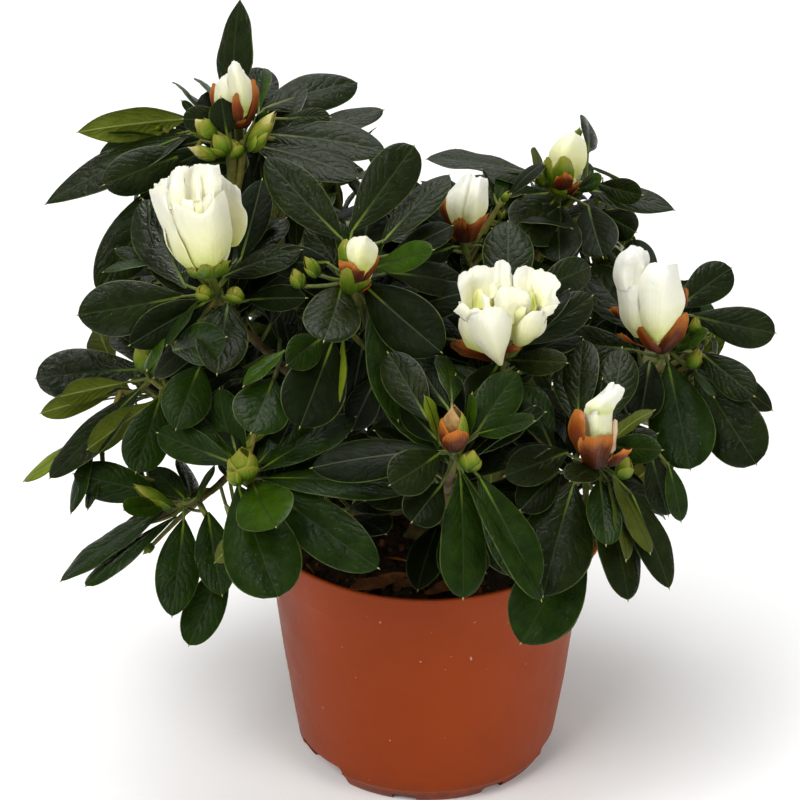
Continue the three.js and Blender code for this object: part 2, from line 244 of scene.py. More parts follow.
def pot_mat(name):
    m, nt, b = base_mat(name)
    ob = nt.nodes.new("ShaderNodeTexCoord").outputs["Object"]
    sp = nt.nodes.new("ShaderNodeSeparateXYZ")
    nt.links.new(ob, sp.inputs[0])
    base = ramp(nt, noise(nt, ob, 26, 5, 0.6), [(0.3, lin(131, 50, 9)), (0.7, lin(138, 54, 11))])
    # darker, browner patches towards the foot, and a few pale specks of dust
    low = remap(nt, sp.outputs[2], 0.0, 0.011, 1.0, 0.0)
    foot_darkening = calc(nt, "MULTIPLY", low, remap(nt, noise(nt, ob, 170, 5, 0.7), 0.42, 0.62, 0.0, 0.85))
    mix = nt.nodes.new("ShaderNodeMix"); mix.data_type = "RGBA"
    nt.links.new(foot_darkening, mix.inputs[0])
    nt.links.new(base, mix.inputs[6])
    mix.inputs[7].default_value = lin(84, 44, 24)
    speck = remap(nt, noise(nt, ob, 620, 1, 0.4), 0.785, 0.815, 0.0, 0.6)
    mix2 = nt.nodes.new("ShaderNodeMix"); mix2.data_type = "RGBA"
    nt.links.new(speck, mix2.inputs[0])
    nt.links.new(mix.outputs[2], mix2.inputs[6])
    mix2.inputs[7].default_value = lin(205, 170, 150)
    nt.links.new(mix2.outputs[2], b.inputs["Base Color"])
    nt.links.new(remap(nt, noise(nt, ob, 90, 5, 0.6), 0.3, 0.7, 0.38, 0.52), b.inputs["Roughness"])
    b.inputs["Specular IOR Level"].default_value = 0.13
    h = calc(nt, "ADD", noise(nt, ob, 900, 2), calc(nt, "MULTIPLY", noise(nt, ob, 60, 2), 2.0))
    bumped(nt, b, h, 0.12, 0.0006)
    return m


M = {
    "top_dark": leaf_mat("leaf_top_dark", lin(17, 25, 5), lin(25, 34, 8), (0.22, 0.44), vein=0.32, spec=0.16, lumps=0.42),
    "top_mid": leaf_mat("leaf_top_mid", lin(17, 33, 2), lin(27, 45, 5), (0.24, 0.46), vein=0.28, lumps=0.34),
    "top_bright": leaf_mat("leaf_top_bright", lin(30, 52, 2), lin(44, 68, 5), (0.22, 0.4), lumps=0.25),
    # top_black: a near-black copy of the leaf colour, painted shade for leaves deep inside the crown and in its
    # shadowed gaps
    "top_black": leaf_mat("leaf_top_black", lin(9, 16, 2), lin(15, 24, 4), (0.34, 0.5), spec=0.09),
    "top_mottled": leaf_mat("leaf_top_mottled", lin(17, 24, 7), lin(27, 36, 12), (0.14, 0.4), 0.5, 0.4, 0.4, 0.8),
    "top_olive": leaf_mat("leaf_top_olive", lin(50, 58, 9), lin(66, 72, 15), (0.38, 0.55)),
    "top_young": leaf_mat("leaf_top_young", lin(84, 102, 13), lin(108, 120, 26), (0.34, 0.48)),
    "under": leaf_mat("leaf_underside", lin(82, 94, 22), lin(98, 108, 32), (0.5, 0.65), 0.4, -0.4),
    "rib": rib_mat("leaf_midrib", lin(92, 112, 26), lin(32, 44, 12)),
    "rib_under": plain_mat("leaf_midrib_under", lin(128, 140, 66), lin(142, 150, 76), 300, (0.4, 0.55), 0.2, 900),
    "margin": plain_mat("leaf_margin", lin(34, 48, 10), lin(66, 80, 22), 400, (0.45, 0.6), 0.2, 900),
    "mucro": plain_mat("leaf_tip_point", lin(108, 116, 52), lin(150, 152, 84), 500, (0.4, 0.5), 0.2, 900),
    "petiole": plain_mat("leaf_stalk", lin(64, 78, 20), lin(92, 100, 34), 260, (0.45, 0.6), 0.3, 700),
    "bark": plain_mat("bark", lin(58, 48, 28), lin(104, 88, 54), 240, (0.7, 0.9), 0.9, 420, 0.3),
    "twig": plain_mat("young_twig", lin(78, 84, 28), lin(112, 104, 46), 260, (0.55, 0.75), 0.6, 600, 0.4),
    "petal": petal_mat("petal_white", lin(190, 200, 92), lin(230, 226, 172), lin(236, 232, 202)),
    # petal_light: a whiter copy of the petal colour, painted light on blooms and buds that sit in shade
    "petal_light": petal_mat("petal_light", lin(214, 220, 124), lin(250, 246, 204), lin(252, 249, 226)),
    "petal_cream": petal_mat("petal_cream", lin(180, 188, 76), lin(236, 233, 158), lin(243, 239, 192)),
    "scale_rust": scale_mat("bud_scale_rust", lin(60, 24, 4), lin(116, 50, 6), lin(162, 96, 38)),
    "scale_brown": scale_mat("bud_scale_brown", lin(40, 14, 3), lin(84, 34, 5), lin(170, 98, 32)),
    "scale_green": scale_mat("bud_scale_green", lin(44, 64, 6), lin(84, 106, 12), lin(128, 126, 44), 0.6),
    "scale_pink": scale_mat("bud_scale_pink", lin(58, 34, 8), lin(98, 63, 22), lin(164, 132, 84), 0.7),
    "scale_tan": scale_mat("bud_scale_tan", lin(60, 74, 12), lin(118, 118, 36), lin(190, 180, 120), 0.6),
    "scale_pale": plain_mat("bud_scale_pale", lin(196, 160, 122), lin(222, 196, 164), 260, (0.35, 0.5), 0.4, 800),
    "peat": plain_mat("peat", lin(20, 14, 9), lin(52, 38, 25), 300, (0.85, 1.0), 1.0, 500, 0.2),
    "crumb_dark": plain_mat("peat_crumb_dark", lin(24, 17, 11), lin(50, 36, 24), 500, (0.85, 1.0), 0.6, 900, 0.2),
    "crumb_brown": plain_mat("peat_crumb_brown", lin(70, 46, 28), lin(104, 72, 44), 500, (0.8, 1.0), 0.6, 900, 0.2),
    "dead": plain_mat("dead_leaf", lin(70, 38, 18), lin(116, 68, 32), 180, (0.55, 0.8), 0.7, 500, 0.3),
    "pot": pot_mat("pot_plastic"),
}
LEAF_SLOTS = ["top_dark", "top_mid", "top_bright", "top_black", "top_mottled", "top_olive", "top_young",
              "under", "rib", "rib_under", "margin", "mucro"]
# k gives the painted-shade leaf colour
TONE = {"d": "top_dark", "g": "top_mid", "b": "top_bright", "k": "top_black", "m": "top_mottled", "o": "top_olive", "y": "top_young"}


# ------------------------------------------------------------------ mesh making
class Bag:
    """Many small closed sheets and tubes, joined into one mesh."""

    def __init__(self, name, slots, slot):
        self.name, self.slots, self.slot = name, slots, slot
        self.v, self.uv, self.q, self.qm, self.t, self.tm = [], [], [], [], [], []
        self.n = 0

    def add(self, v, uv, quads=None, qm=None, tris=None, tm=None):
        self.v.append(v); self.uv.append(uv)
        if quads is not None and len(quads):
            self.q.append(quads + self.n); self.qm.append(np.broadcast_to(qm, len(quads)))
        if tris is not None and len(tris):
            self.t.append(tris + self.n); self.tm.append(np.broadcast_to(tm, len(tris)))
        self.n += len(v)

    def m(self, key):
        return self.slots.index(key)

    def make(self, sharp=55.0, body="root"):
        v = np.concatenate(self.v) * MM
        uv = np.concatenate(self.uv)
        q = np.concatenate(self.q) if self.q else np.zeros((0, 4), int)
        t = np.concatenate(self.t) if self.t else np.zeros((0, 3), int)
        loops = np.concatenate([q.ravel(), t.ravel()]).astype(np.int32)
        starts = np.concatenate([np.arange(len(q)) * 4, len(q) * 4 + np.arange(len(t)) * 3]).astype(np.int32)
        mats = np.concatenate((self.qm or []) + (self.tm or [])).astype(np.int32)
        me = bpy.data.meshes.new(self.name)
        me.vertices.add(len(v)); me.vertices.foreach_set("co", v.astype(np.float32).ravel())
        me.loops.add(len(loops)); me.loops.foreach_set("vertex_index", loops)
        me.polygons.add(len(starts)); me.polygons.foreach_set("loop_start", starts)
        for s in self.slots:
            me.materials.append(M[s])
        me.polygons.foreach_set("material_index", mats)
        me.polygons.foreach_set("use_smooth", np.ones(len(starts), bool))
        layer = me.uv_layers.new(name="along")
        layer.data.foreach_set("uv", uv[loops].astype(np.float32).ravel())
        me.update(calc_edges=True)
        me.validate()
        if sharp:
            me.set_sharp_from_angle(angle=math.radians(sharp))
        o = bpy.data.objects.new(self.name, me)
        bpy.context.collection.objects.link(o)
        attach(o, body)
        return o


def sheet(bag, P, thick, top, bottom, edge=None, uv=None):
    """A thin closed sheet on a grid of points. top and bottom are slots per strip across."""
    nu, nv = P.shape[0] - 1, P.shape[1] - 1
    n = unit(np.cross(np.gradient(P, axis=0), np.gradient(P, axis=1)))
    th = np.broadcast_to(thick, P.shape[:2])[..., None] / 2
    a, b = P + n * th, P - n * th
    k = np.arange((nu + 1) * (nv + 1)).reshape(nu + 1, nv + 1)
    off = k.size
    i, j = np.meshgrid(np.arange(nu), np.arange(nv), indexing="ij")
    i, j = i.ravel(), j.ravel()
    q1 = np.stack([k[i, j], k[i + 1, j], k[i + 1, j + 1], k[i, j + 1]], 1)
    q2 = np.stack([k[i, j], k[i, j + 1], k[i + 1, j + 1], k[i + 1, j]], 1) + off
    ring = np.concatenate([k[:-1, 0], k[-1, :-1], k[:0:-1, -1], k[0, :0:-1]])
    nxt = np.roll(ring, -1)
    q3 = np.stack([nxt, ring, ring + off, nxt + off], 1)
    top = np.broadcast_to(top, (nu, nv)).ravel()
    bottom = np.broadcast_to(bottom, (nu, nv)).ravel()
    if uv is None:
        u, w = np.meshgrid(np.linspace(0, 1, nu + 1), np.linspace(0, 1, nv + 1), indexing="ij")
        uv = np.stack([u, w], -1)
    uvs = uv.reshape(-1, 2)
    e = np.full(len(q3), top[0] if edge is None else edge)
    bag.add(np.concatenate([a.reshape(-1, 3), b.reshape(-1, 3)]), np.concatenate([uvs, uvs]),
            np.concatenate([q1, q2, q3]), np.concatenate([top, bottom, e]))


def tube(bag, pts, radii, slot, sides=8, relief=0.0, rng=None, cap=0.6):
    """A round limb with rounded ends along points; relief roughens the bark."""
    pts = np.asarray(pts, float)
    radii = np.broadcast_to(radii, len(pts)).astype(float)
    t = unit(np.gradient(pts, axis=0))
    ref = np.array([0.0, 0.0, 1.0]) if abs(t[0, 2]) < 0.8 else np.array([0.0, 1.0, 0.0])
    x = unit(np.cross(ref, t[0]))
    X = []
    for k in range(len(pts)):
        x = unit(x - (x @ t[k]) * t[k])
        X.append(x)
    X = np.array(X); Y = np.cross(t, X)
    # rounded ends
    pts = np.concatenate([[pts[0] - t[0] * radii[0] * cap], pts, [pts[-1] + t[-1] * radii[-1] * cap]])
    radii = np.concatenate([[radii[0] * 0.45], radii, [radii[-1] * 0.45]])
    X = np.concatenate([X[:1], X, X[-1:]]); Y = np.concatenate([Y[:1], Y, Y[-1:]])
    n = len(pts)
    a = np.arange(sides) * 2 * math.pi / sides
    r = radii[:, None] * np.ones((n, sides))
    if relief:
        r = r * (1 + relief * (rng.random((n, sides)) - 0.5) * 2)
    V = pts[:, None] + r[..., None] * (np.cos(a)[None, :, None] * X[:, None] + np.sin(a)[None, :, None] * Y[:, None])
    k = np.arange(n * sides).reshape(n, sides)
    i, j = np.meshgrid(np.arange(n - 1), np.arange(sides), indexing="ij")
    i, j = i.ravel(), j.ravel(); j2 = (j + 1) % sides
    q = np.stack([k[i, j], k[i, j2], k[i + 1, j2], k[i + 1, j]], 1)
    V = np.concatenate([V.reshape(-1, 3), pts[:1] - t[:1] * radii[0] * 0.3, pts[-1:] + t[-1:] * radii[-1] * 0.3])
    j = np.arange(sides)
    c0 = np.stack([np.full(sides, n * sides), (j + 1) % sides, j], 1)
    c1 = np.stack([np.full(sides, n * sides + 1), k[-1, j], k[-1, (j + 1) % sides]], 1)
    uv = np.zeros((len(V), 2)); uv[:, 0] = np.concatenate([np.repeat(np.linspace(0, 1, n), sides), [0, 1]])
    bag.add(V, uv, q, bag.m(slot), np.concatenate([c0, c1]), bag.m(slot))


def curve(points, n):
    """A centripetal Catmull-Rom curve through the points."""
    p = [np.asarray(a, float) for a in points]
    p = [2 * p[0] - p[1]] + p + [2 * p[-1] - p[-2]]
    out = []
    for k in range(1, len(p) - 2):
        a, b, c, d = p[k - 1:k + 3]
        t0, t1 = 0.0, np.linalg.norm(b - a) ** 0.5
        t2 = t1 + np.linalg.norm(c - b) ** 0.5
        t3 = t2 + np.linalg.norm(d - c) ** 0.5
        for t in np.linspace(t1, t2, n, endpoint=(k == len(p) - 3)):
            A1 = (t1 - t) / (t1 - t0) * a + (t - t0) / (t1 - t0) * b
            A2 = (t2 - t) / (t2 - t1) * b + (t - t1) / (t2 - t1) * c
            A3 = (t3 - t) / (t3 - t2) * c + (t - t2) / (t3 - t2) * d
            B1 = (t2 - t) / (t2 - t0) * A1 + (t - t0) / (t2 - t0) * A2
            B2 = (t3 - t) / (t3 - t1) * A2 + (t - t1) / (t3 - t1) * A3
            out.append((t2 - t) / (t2 - t1) * B1 + (t - t1) / (t2 - t1) * B2)
    return np.array(out)


# ------------------------------------------------------------------ one leaf
T_FINE = np.array([-1, -0.965, -0.74, -0.42, -0.16, -0.045, 0.045, 0.16, 0.42, 0.74, 0.965, 1.0])
T_PLAIN = np.array([-1, -0.955, -0.5, -0.05, 0.05, 0.5, 0.955, 1.0])


def leaf(bag, B, T, W, N, tone, rng, fine=True, bow=None, blunt=None, under="under"):
    B, T = np.asarray(B, float), np.asarray(T, float)
    L = np.linalg.norm(T - B)
    a = (T - B) / L
    n = unit(N - (N @ a) * a)
    s_dir = np.cross(n, a)
    nl = 16 if fine else 10
    u = np.linspace(0, 1, nl + 1)
    s = 0.42 * u + 0.58 * (1 - (1 - u) ** 2)
    t = T_FINE if fine else T_PLAIN
    pa = rng.uniform(0.88, 1.12)
    pb = rng.uniform(0.52, 0.74) if blunt is None else blunt
    w = s ** pa * (1 - s) ** pb
    w = w / w.max() * W / 2
    w = np.maximum(w, np.where(s < 0.5, 0.5, 0.14))
    calm = bow is not None
    bow = rng.uniform(0.03, 0.11) if bow is None else bow
    hook = rng.uniform(0.0, 0.05) * (0.4 if calm else 1.0)
    sway = rng.uniform(-0.03, 0.03) * (0.5 if calm else 1.0)
    mid = (B + a * (L * s)[:, None] + n * (L * (bow * 4 * s * (1 - s) - hook * (s ** 6 - s)))[:, None]
           + s_dir * (sway * L * np.sin(math.pi * s))[:, None])
    # the midrib strip narrows towards the tip
    tt = np.broadcast_to(t, (nl + 1, len(t))).copy()
    narrow = np.clip(0.75 / np.maximum(w, 0.4), 0.0, 1.0) * (1.15 - 0.75 * s)
    c = np.abs(t) < 0.05
    tt[:, c] = np.sign(t[c]) * np.clip(0.5 * narrow, 0.02, 0.3)[:, None]
    fold, camber = rng.uniform(0.10, 0.30), rng.uniform(0.16, 0.36)
    ph, fr = rng.uniform(0, 6.3), rng.uniform(1.2, 2.6)
    wave = rng.uniform(0.02, 0.07)
    S = s[:, None]
    at = np.abs(tt)
    z = w[:, None] * (fold * at ** 1.1 - camber * at ** 2.6 + wave * np.sin(2 * math.pi * fr * S + ph + np.sign(tt) * 1.1) * at ** 2)
    z = z - 0.22 * np.exp(-(at * w[:, None] / 0.7) ** 2) * (1 - S)
    tw = rng.uniform(-0.22, 0.22) * (S - 0.4)
    side = s_dir * np.cos(tw)[..., None] + n * np.sin(tw)[..., None]
    nn = n * np.cos(tw)[..., None] - s_dir * np.sin(tw)[..., None]
    P = mid[:, None] + side * (tt * w[:, None])[..., None] + nn * z[..., None]
    th = 0.42 * (1 - 0.45 * at ** 2) * (1 - 0.25 * S)
    top = np.full(len(t) - 1, bag.m(TONE[tone]))
    low = np.full(len(t) - 1, bag.m(under))
    top[[0, -1]] = bag.m("margin")
    low[[0, -1]] = bag.m("margin")
    k = len(t) // 2 - 1
    top[k], low[k] = bag.m("rib"), bag.m("rib_under")
    UV = np.stack([np.broadcast_to(S, tt.shape), tt * 0.5 + 0.5], -1)
    sheet(bag, P, th, top[None], low[None], bag.m("margin"), UV)
    # the small hard point at the tip
    e = unit(mid[-1] - mid[-2])
    r = 0.30 if fine else 0.25
    V = [mid[-1] - e * 0.5, mid[-1] + e * 0.9]
    ring = [mid[-1] - e * 0.1 + r * (math.cos(q) * s_dir + math.sin(q) * n) for q in np.arange(5) * 2 * math.pi / 5]
    V = np.array(V + ring)
    j = np.arange(5); j2 = (j + 1) % 5
    tr = np.concatenate([np.stack([np.zeros(5, int), j2 + 2, j + 2], 1), np.stack([np.ones(5, int), j + 2, j2 + 2], 1)])
    bag.add(V, np.zeros((7, 2)), None, None, tr, bag.m("mucro"))
    return mid


# ------------------------------------------------------------------ limbs and shoots
STEM_PATH = [(0.0, 0.0, 76.5), (0.0, 0.0, 80.0), (0.3, -0.3, 88.0), (0.9, 0.2, 97.0), (0.4, 0.6, 106.0)]
# bough, tier, direction of its fork in degrees from +X, the mass that it carries
BOUGHS = [("bough_top_left", 1, 168, "foliage_top_left"), ("bough_upper_left", 1, 215, "foliage_upper_left"),
          ("bough_centre", 1, 262, "foliage_centre"), ("bough_front_centre", 1, 310, "foliage_front_centre"),
          ("bough_upper_right", 1, 36, "foliage_upper_right"), ("bough_back", 1, 104, "foliage_back_centre_left"),
          ("bough_left", 0, 190, "foliage_left"), ("bough_front_left", 0, 234, "foliage_front_left"),
          ("bough_front", 0, 278, "foliage_front"), ("bough_front_right", 0, 322, "foliage_front_right"),
          ("bough_right", 0, 6, "foliage_right"), ("bough_back_right", 0, 52, "foliage_back_right"),
          ("bough_back_left", 0, 144, "foliage_back_left")]
MASSES = {"foliage_top_left": (-58, 10, 208), "foliage_upper_left": (-64, -40, 183), "foliage_left": (-87, -10, 139),
          "foliage_lower_left": (-78, -30, 104), "foliage_front_left": (-55, -75, 140), "foliage_centre": (-23, -45, 189),
          "foliage_inner": (11, 10, 177), "foliage_upper_right": (42, 35, 182), "foliage_front_centre": (23, -50, 168),
          "foliage_right": (75, -10, 149), "foliage_front_right": (51, -70, 141), "foliage_front": (8, -85, 154),
          "foliage_back_left": (-72, 52, 152), "foliage_back_centre_left": (-30, 82, 147),
          "foliage_back_centre_right": (22, 86, 142), "foliage_back_right": (60, 60, 140),
          "foliage_side_left": (-84, 34, 122), "foliage_inner_back": (0, 44, 156),
          "foliage_low_back_left": (-46, 84, 112), "foliage_low_back_right": (42, 84, 108),
          "foliage_side_right": (84, 28, 118)}
# masses that grow on from another mass's bough
GROWN_FROM = {"foliage_lower_left": "foliage_left", "foliage_inner": "foliage_upper_right",
              "foliage_back_centre_right": "foliage_back_centre_left", "foliage_side_left": "foliage_back_left",
              "foliage_inner_back": "foliage_back_centre_left", "foliage_low_back_left": "foliage_back_left",
              "foliage_low_back_right": "foliage_back_right", "foliage_side_right": "foliage_right"}
SHOOT = {"foliage_top_left": "S1", "foliage_upper_left": "S2", "foliage_left": "S11", "foliage_lower_left": "S12",
         "foliage_front_left": "S10", "foliage_centre": "S3", "foliage_inner": "S4", "foliage_upper_right": "S5",
         "foliage_front_centre": "S6", "foliage_right": "S7", "foliage_front_right": "S8", "foliage_front": "S9"}

# The leaves that show in front, shoot by shoot: where each shoot ends (pixels of the view and
# depth in mm), then base x, y, tip x, y, width, tone; u turns the underside to the viewer
# and a number is how much nearer the tip is than the base. Tone k is painted shade: a near-black leaf put where the
# crown lies in shadow.
HERO = {
'S1': ((238,148), 10, [
 (234,118,240,0,35,'d','p',-8),(250,118,265,69,38,'d',-22),(259,110,264,69,17,'b',-14),(262,109,357,83,39,'d'),(284,119,330,117,18,'d',-2),(296,134,383,110,22,'d',-6),
 (268,134,385,152,40,'d'),(252,145,357,178,36,'d',14),(187,118,78,132,34,'o','u','p',2),(189,134,46,204,34,'d','p',6),(185,132,99,156,32,'d',-12),
 (190,152,104,185,44,'d',12),(200,112,184,92,8,'g','n'),(216,100,209,89,9,'g','n'),(214,140,176,124,28,'k',-6),(236,152,236,126,20,'k',-4),(176,176,98,292,52,'d',10),(230,119,183,119,27,'d',6,15),
 (227,134,221,98,29,'d',5,17),(200,119,182,101,9,'g',2),(256,132,268,112,14,'b',4,10),(205,160,160,250,44,'d',4),(250,158,226,214,36,'k',6),(212,150,170,166,24,'k',2),(176,176,141,198,22,'k',4),(206,140,170,147,20,'k',0),(236,140,238,176,22,'k',6),(238,150,226,192,32,'k',0),(262,148,252,184,28,'k',0),(246,162,186,166,24,'k',2),(262,150,300,215,36,'d',12)]),
'S2': ((215,292), -40, [
 (185,296,78,315,56,'d',6),(186,288,143,200,58,'m',-12),(205,268,196,225,40,'d',-22),(172,350,226,337,43,'g',20),(228,303,217,374,52,'d',18),
 (222,277,301,250,27,'d',6),(232,264,286,218,30,'d',-14),(246,300,306,298,27,'k',10),(198,300,167,345,9,'g',14),(165,332,147,370,10,'b',10),
 (200,366,176,429,50,'g',12),(210,300,130,345,40,'k',4),(240,262,262,180,36,'k',-8)]),
'S11': ((150,378), -10, [
 (148,369,36,378,50,'m',4),(125,382,62,396,25,'b','u',12),(112,394,41,413,24,'b','u',10),(140,389,50,478,32,'d',8),(152,402,88,449,28,'o','u',14),
 (95,430,24,481,13,'y',-4),(92,440,71,513,14,'g',4),(100,470,88,509,10,'d',6),(150,378,208,312,10,'y',4),(160,398,136,472,46,'g',14),
 (152,372,118,330,30,'d',-24),(160,375,196,345,36,'g',-10)]),
'S12': ((178,506), -30, [
 (160,494,74,474,40,'g',2),(165,505,124,510,22,'b',18),(165,509,61,581,24,'g',8),(176,516,86,586,16,'g',14),(184,519,172,616,44,'g',14),
 (226,560,189,645,40,'g',6),(208,512,222,595,40,'g',10),(190,498,184,462,20,'d',-22),(196,500,214,466,7,'g',-8),(186,500,150,468,26,'g',-14)]),
'S10': ((243,474), -75, [
 (238,486,278,597,77,'g',12),(252,481,276,527,62,'b',26),(264,484,378,568,56,'g',8),(262,478,412,490,30,'g',6),(260,470,355,417,33,'g',-8),
 (256,466,296,424,26,'g',-16),(248,447,265,429,13,'y',-14),(274,378,251,433,58,'g',14),(233,463,158,433,36,'g',-8),(233,459,206,430,15,'b',-16),
 (285,350,244,386,15,'b',8),(236,452,222,400,30,'k',-16)]),
'S3': ((352,280), -45, [
 (343,240,266,158,46,'d',-6),(350,234,414,146,50,'d',-6),(382,243,449,175,32,'d',-8),(370,270,433,250,26,'b',14),(362,283,441,352,60,'k',10),
 (342,284,324,341,57,'d',24),(366,330,352,398,36,'k',-6),(380,372,352,430,34,'k',-8),(398,376,372,420,30,'k',-10),(386,272,466,285,34,'d',-12),(337,275,318,233,24,'d',-22),(333,340,300,427,64,'k',12),(368,300,398,420,42,'g',8),
 (322,338,287,365,36,'g',14),(343,335,337,410,8,'y',8),(330,262,270,262,34,'k',-4),(390,256,452,226,26,'k',-10)]),
'S4': ((463,240), 10, [
 (461,236,425,212,14,'k',-14),(470,240,500,212,26,'k',-16),(455,246,410,262,30,'k',10),(478,244,520,262,30,'k',8)]),
'S5': ((560,192), 35, [
 (540,176,427,159,17,'d',2),(534,180,484,173,12,'d',12),(550,193,488,198,26,'d',14),(558,196,520,238,58,'d',22),(588,204,603,257,45,'k',20),
 (598,184,642,195,26,'d',14),(588,190,674,210,27,'d','p',8),(577,190,602,178,16,'b',12),(588,152,587,120,17,'d',-22),(540,180,535,148,10,'o',-10),
 (560,205,560,262,46,'k',22),(600,212,636,232,32,'k',14),(540,196,492,228,40,'k',16)]),
'S6': ((506,352), -50, [
 (508,300,508,222,52,'d',-12),(536,290,590,267,36,'d',-16),(520,345,592,296,38,'d',-8),(508,360,567,363,28,'d',16),(552,448,522,386,36,'g',-6),
 (470,345,440,312,30,'k',-14),(500,362,470,400,34,'k',16),(455,340,405,330,36,'k',4)]),
'S7': ((668,350), -10, [
 (677,309,731,268,40,'d',-10),(690,315,775,333,41,'d',4),(672,350,708,333,15,'b',16),(668,362,690,469,66,'g',14),(695,368,756,464,62,'d',6),
 (700,352,754,396,36,'d',8),(712,362,772,410,26,'d',-4),(690,366,714,397,8,'g',16,'n'),(638,332,590,267,46,'d',-12),(636,350,545,338,36,'d',-2),
 (655,300,632,240,34,'k',-14),(650,360,640,420,40,'k',12)]),
'S8': ((600,463), -70, [
 (574,482,543,596,76,'d',14),(586,540,521,643,72,'g',6),(603,484,628,600,40,'d',10),(607,478,626,560,12,'o',16),(630,490,669,588,34,'d',6),(612,474,650,553,15,'o',12),(668,462,681,521,21,'g',-2),
 (650,450,668,515,32,'d',-4),(578,428,583,340,37,'d',-14),(584,432,563,366,32,'d',-14),(610,420,622,348,42,'d',-12),(568,452,505,476,40,'d',12),
 (596,466,570,481,28,'d',22),(606,446,662,450,30,'g',12),(600,480,606,545,34,'g',20),(560,470,520,510,38,'k',10),(560,545,545,640,60,'g',4)]),
'S9': ((456,449), -85, [
 (440,451,312,468,42,'k',2),(441,452,390,485,46,'d',18),(428,420,388,353,42,'d',-10),(452,402,446,357,26,'g',-20),(476,434,518,372,44,'g',-8),
 (477,434,534,421,20,'g',16),(460,470,463,598,47,'g',4),(478,474,537,588,48,'g',6),(461,470,541,600,22,'g',8),(440,446,425,397,11,'y',5),
 (466,442,472,394,10,'b',5),(442,484,412,522,44,'k',14),(440,442,402,404,30,'k',-12),(448,408,424,372,24,'k',-12)]),
}

# the crown's outline in the view, and where the background shows through it
OUTLINE = [(238, 0), (254, 22), (246, 72), (285, 80), (353, 76), (351, 100), (380, 106), (384, 152), (416, 146),
           (420, 176), (448, 175), (446, 190), (468, 170), (506, 173), (426, 158), (530, 162), (565, 130), (590, 120),
           (588, 168), (626, 176), (675, 209), (634, 215), (638, 239), (680, 278), (712, 262), (735, 268), (732, 300),
           (775, 325), (770, 345), (720, 342), (773, 403), (764, 451), (739, 467), (707, 458), (684, 474), (683, 512),
           (668, 530), (674, 586), (658, 582), (646, 556), (635, 600), (616, 600), (600, 553), (576, 612), (545, 640),
           (500, 596), (400, 600), (300, 570), (278, 600), (235, 592), (218, 630), (187, 645), (178, 618), (162, 607), (169, 535), (90, 585), (60, 582),
           (72, 552), (118, 522), (130, 500), (97, 500), (71, 513), (72, 468), (24, 481), (65, 447), (82, 416), (41, 418),
           (48, 404), (36, 376), (56, 351), (92, 340), (77, 314), (95, 294), (108, 234), (134, 192), (101, 186), (46, 204),
           (109, 142), (78, 136), (85, 124), (152, 104), (182, 108), (176, 82), (208, 103), (201, 79), (220, 78), (221, 22)]
GAPS = [(516, 177, 2.6), (135, 375, 5), (148, 410, 2.5), (131, 432, 3), (120, 450, 10), (94, 451, 7), (197, 466, 2.5),
        (168, 474, 4), (220, 485, 9), (207, 518, 10), (167, 513, 3.5), (157, 519, 4), (342, 203, 2), (271, 246, 2),
        (230, 175, 2), (171, 297, 2), (163, 330, 2), (132, 358, 2), (97, 386, 3), (147, 390, 2), (588, 198, 2),
        (593, 258, 2), (657, 362, 2), (653, 374, 2), (647, 393, 2)]
_ox, _oy = np.array(OUTLINE, float).T


def inside(x, y):
    x2, y2 = np.roll(_ox, -1), np.roll(_oy, -1)
    hit = ((_oy > y) != (y2 > y)) & (x < (x2 - _ox) * (y - _oy) / (y2 - _oy + 1e-9) + _ox)
    return hit.sum() % 2 == 1


def allowed(B, T, W, N):
    """A seeded leaf stays within the crown's outline, off its gaps and inside the CAD box."""
    a = unit(T - B)
    s = np.cross(unit(N - (N @ a) * a), a)
    pts = np.array([B, B * 0.6 + T * 0.4, T + a * 1.0] + [B * (1 - f) + T * f + s * g * W * 0.52 for f in (0.35, 0.6, 0.85) for g in (-1, 1)])
    lo, hi = np.array(CAD_BOX[0]) / MM - 1.0, np.array(CAD_BOX[1]) / MM + 1.0
    if (pts < lo).any() or (pts > hi).any():
        return False
    for q, r in ROOM:
        if (np.linalg.norm(pts - q, axis=1) < r).any():
            return False
    if (np.hypot(pts[:, 0], pts[:, 1]) < 56).any() and (pts[np.hypot(pts[:, 0], pts[:, 1]) < 56, 2] < 88).any():
        return False
    for x, y in pixel(pts):
        if not inside(x, y):
            return False
    p = pixel(B[None] + (T - B)[None] * np.linspace(0, 1, 9)[:, None])
    hw = W * 0.45 * FOCAL_PX / depth(B)
    for gx, gy, r in GAPS:
        d = np.hypot(p[:, 0] - gx, p[:, 1] - gy)
        if (d < r + hw * 0.7).any():
            return False
    return True


def polar(deg, r):
    return np.array([math.cos(math.radians(deg)) * r, math.sin(math.radians(deg)) * r, 0.0])


# the open blooms on the far side, and the room that each is given: offset from the end of its limb
FAR_BLOOMS = {"foliage_back_centre_left": (0, 13, -28), "foliage_side_right": (-7, 12, -6)}
ROOM = []
for name, off in FAR_BLOOMS.items():
    c = np.array(MASSES[name], float)
    a = unit(unit(c * [1, 1, 0]) * 0.3 + np.array([0, 0, 1.0]))
    ROOM += [(c + off + a * 8, 9.5), (c + off + a * 17, 12.5), (c + off + a * 25, 12.0)]

ends = {}
for name, c in MASSES.items():
    if name in SHOOT:
        (px, py), y, _ = HERO[SHOOT[name]]
        ends[name] = at_y(px, py, y)
    else:
        ends[name] = np.array(c, float)

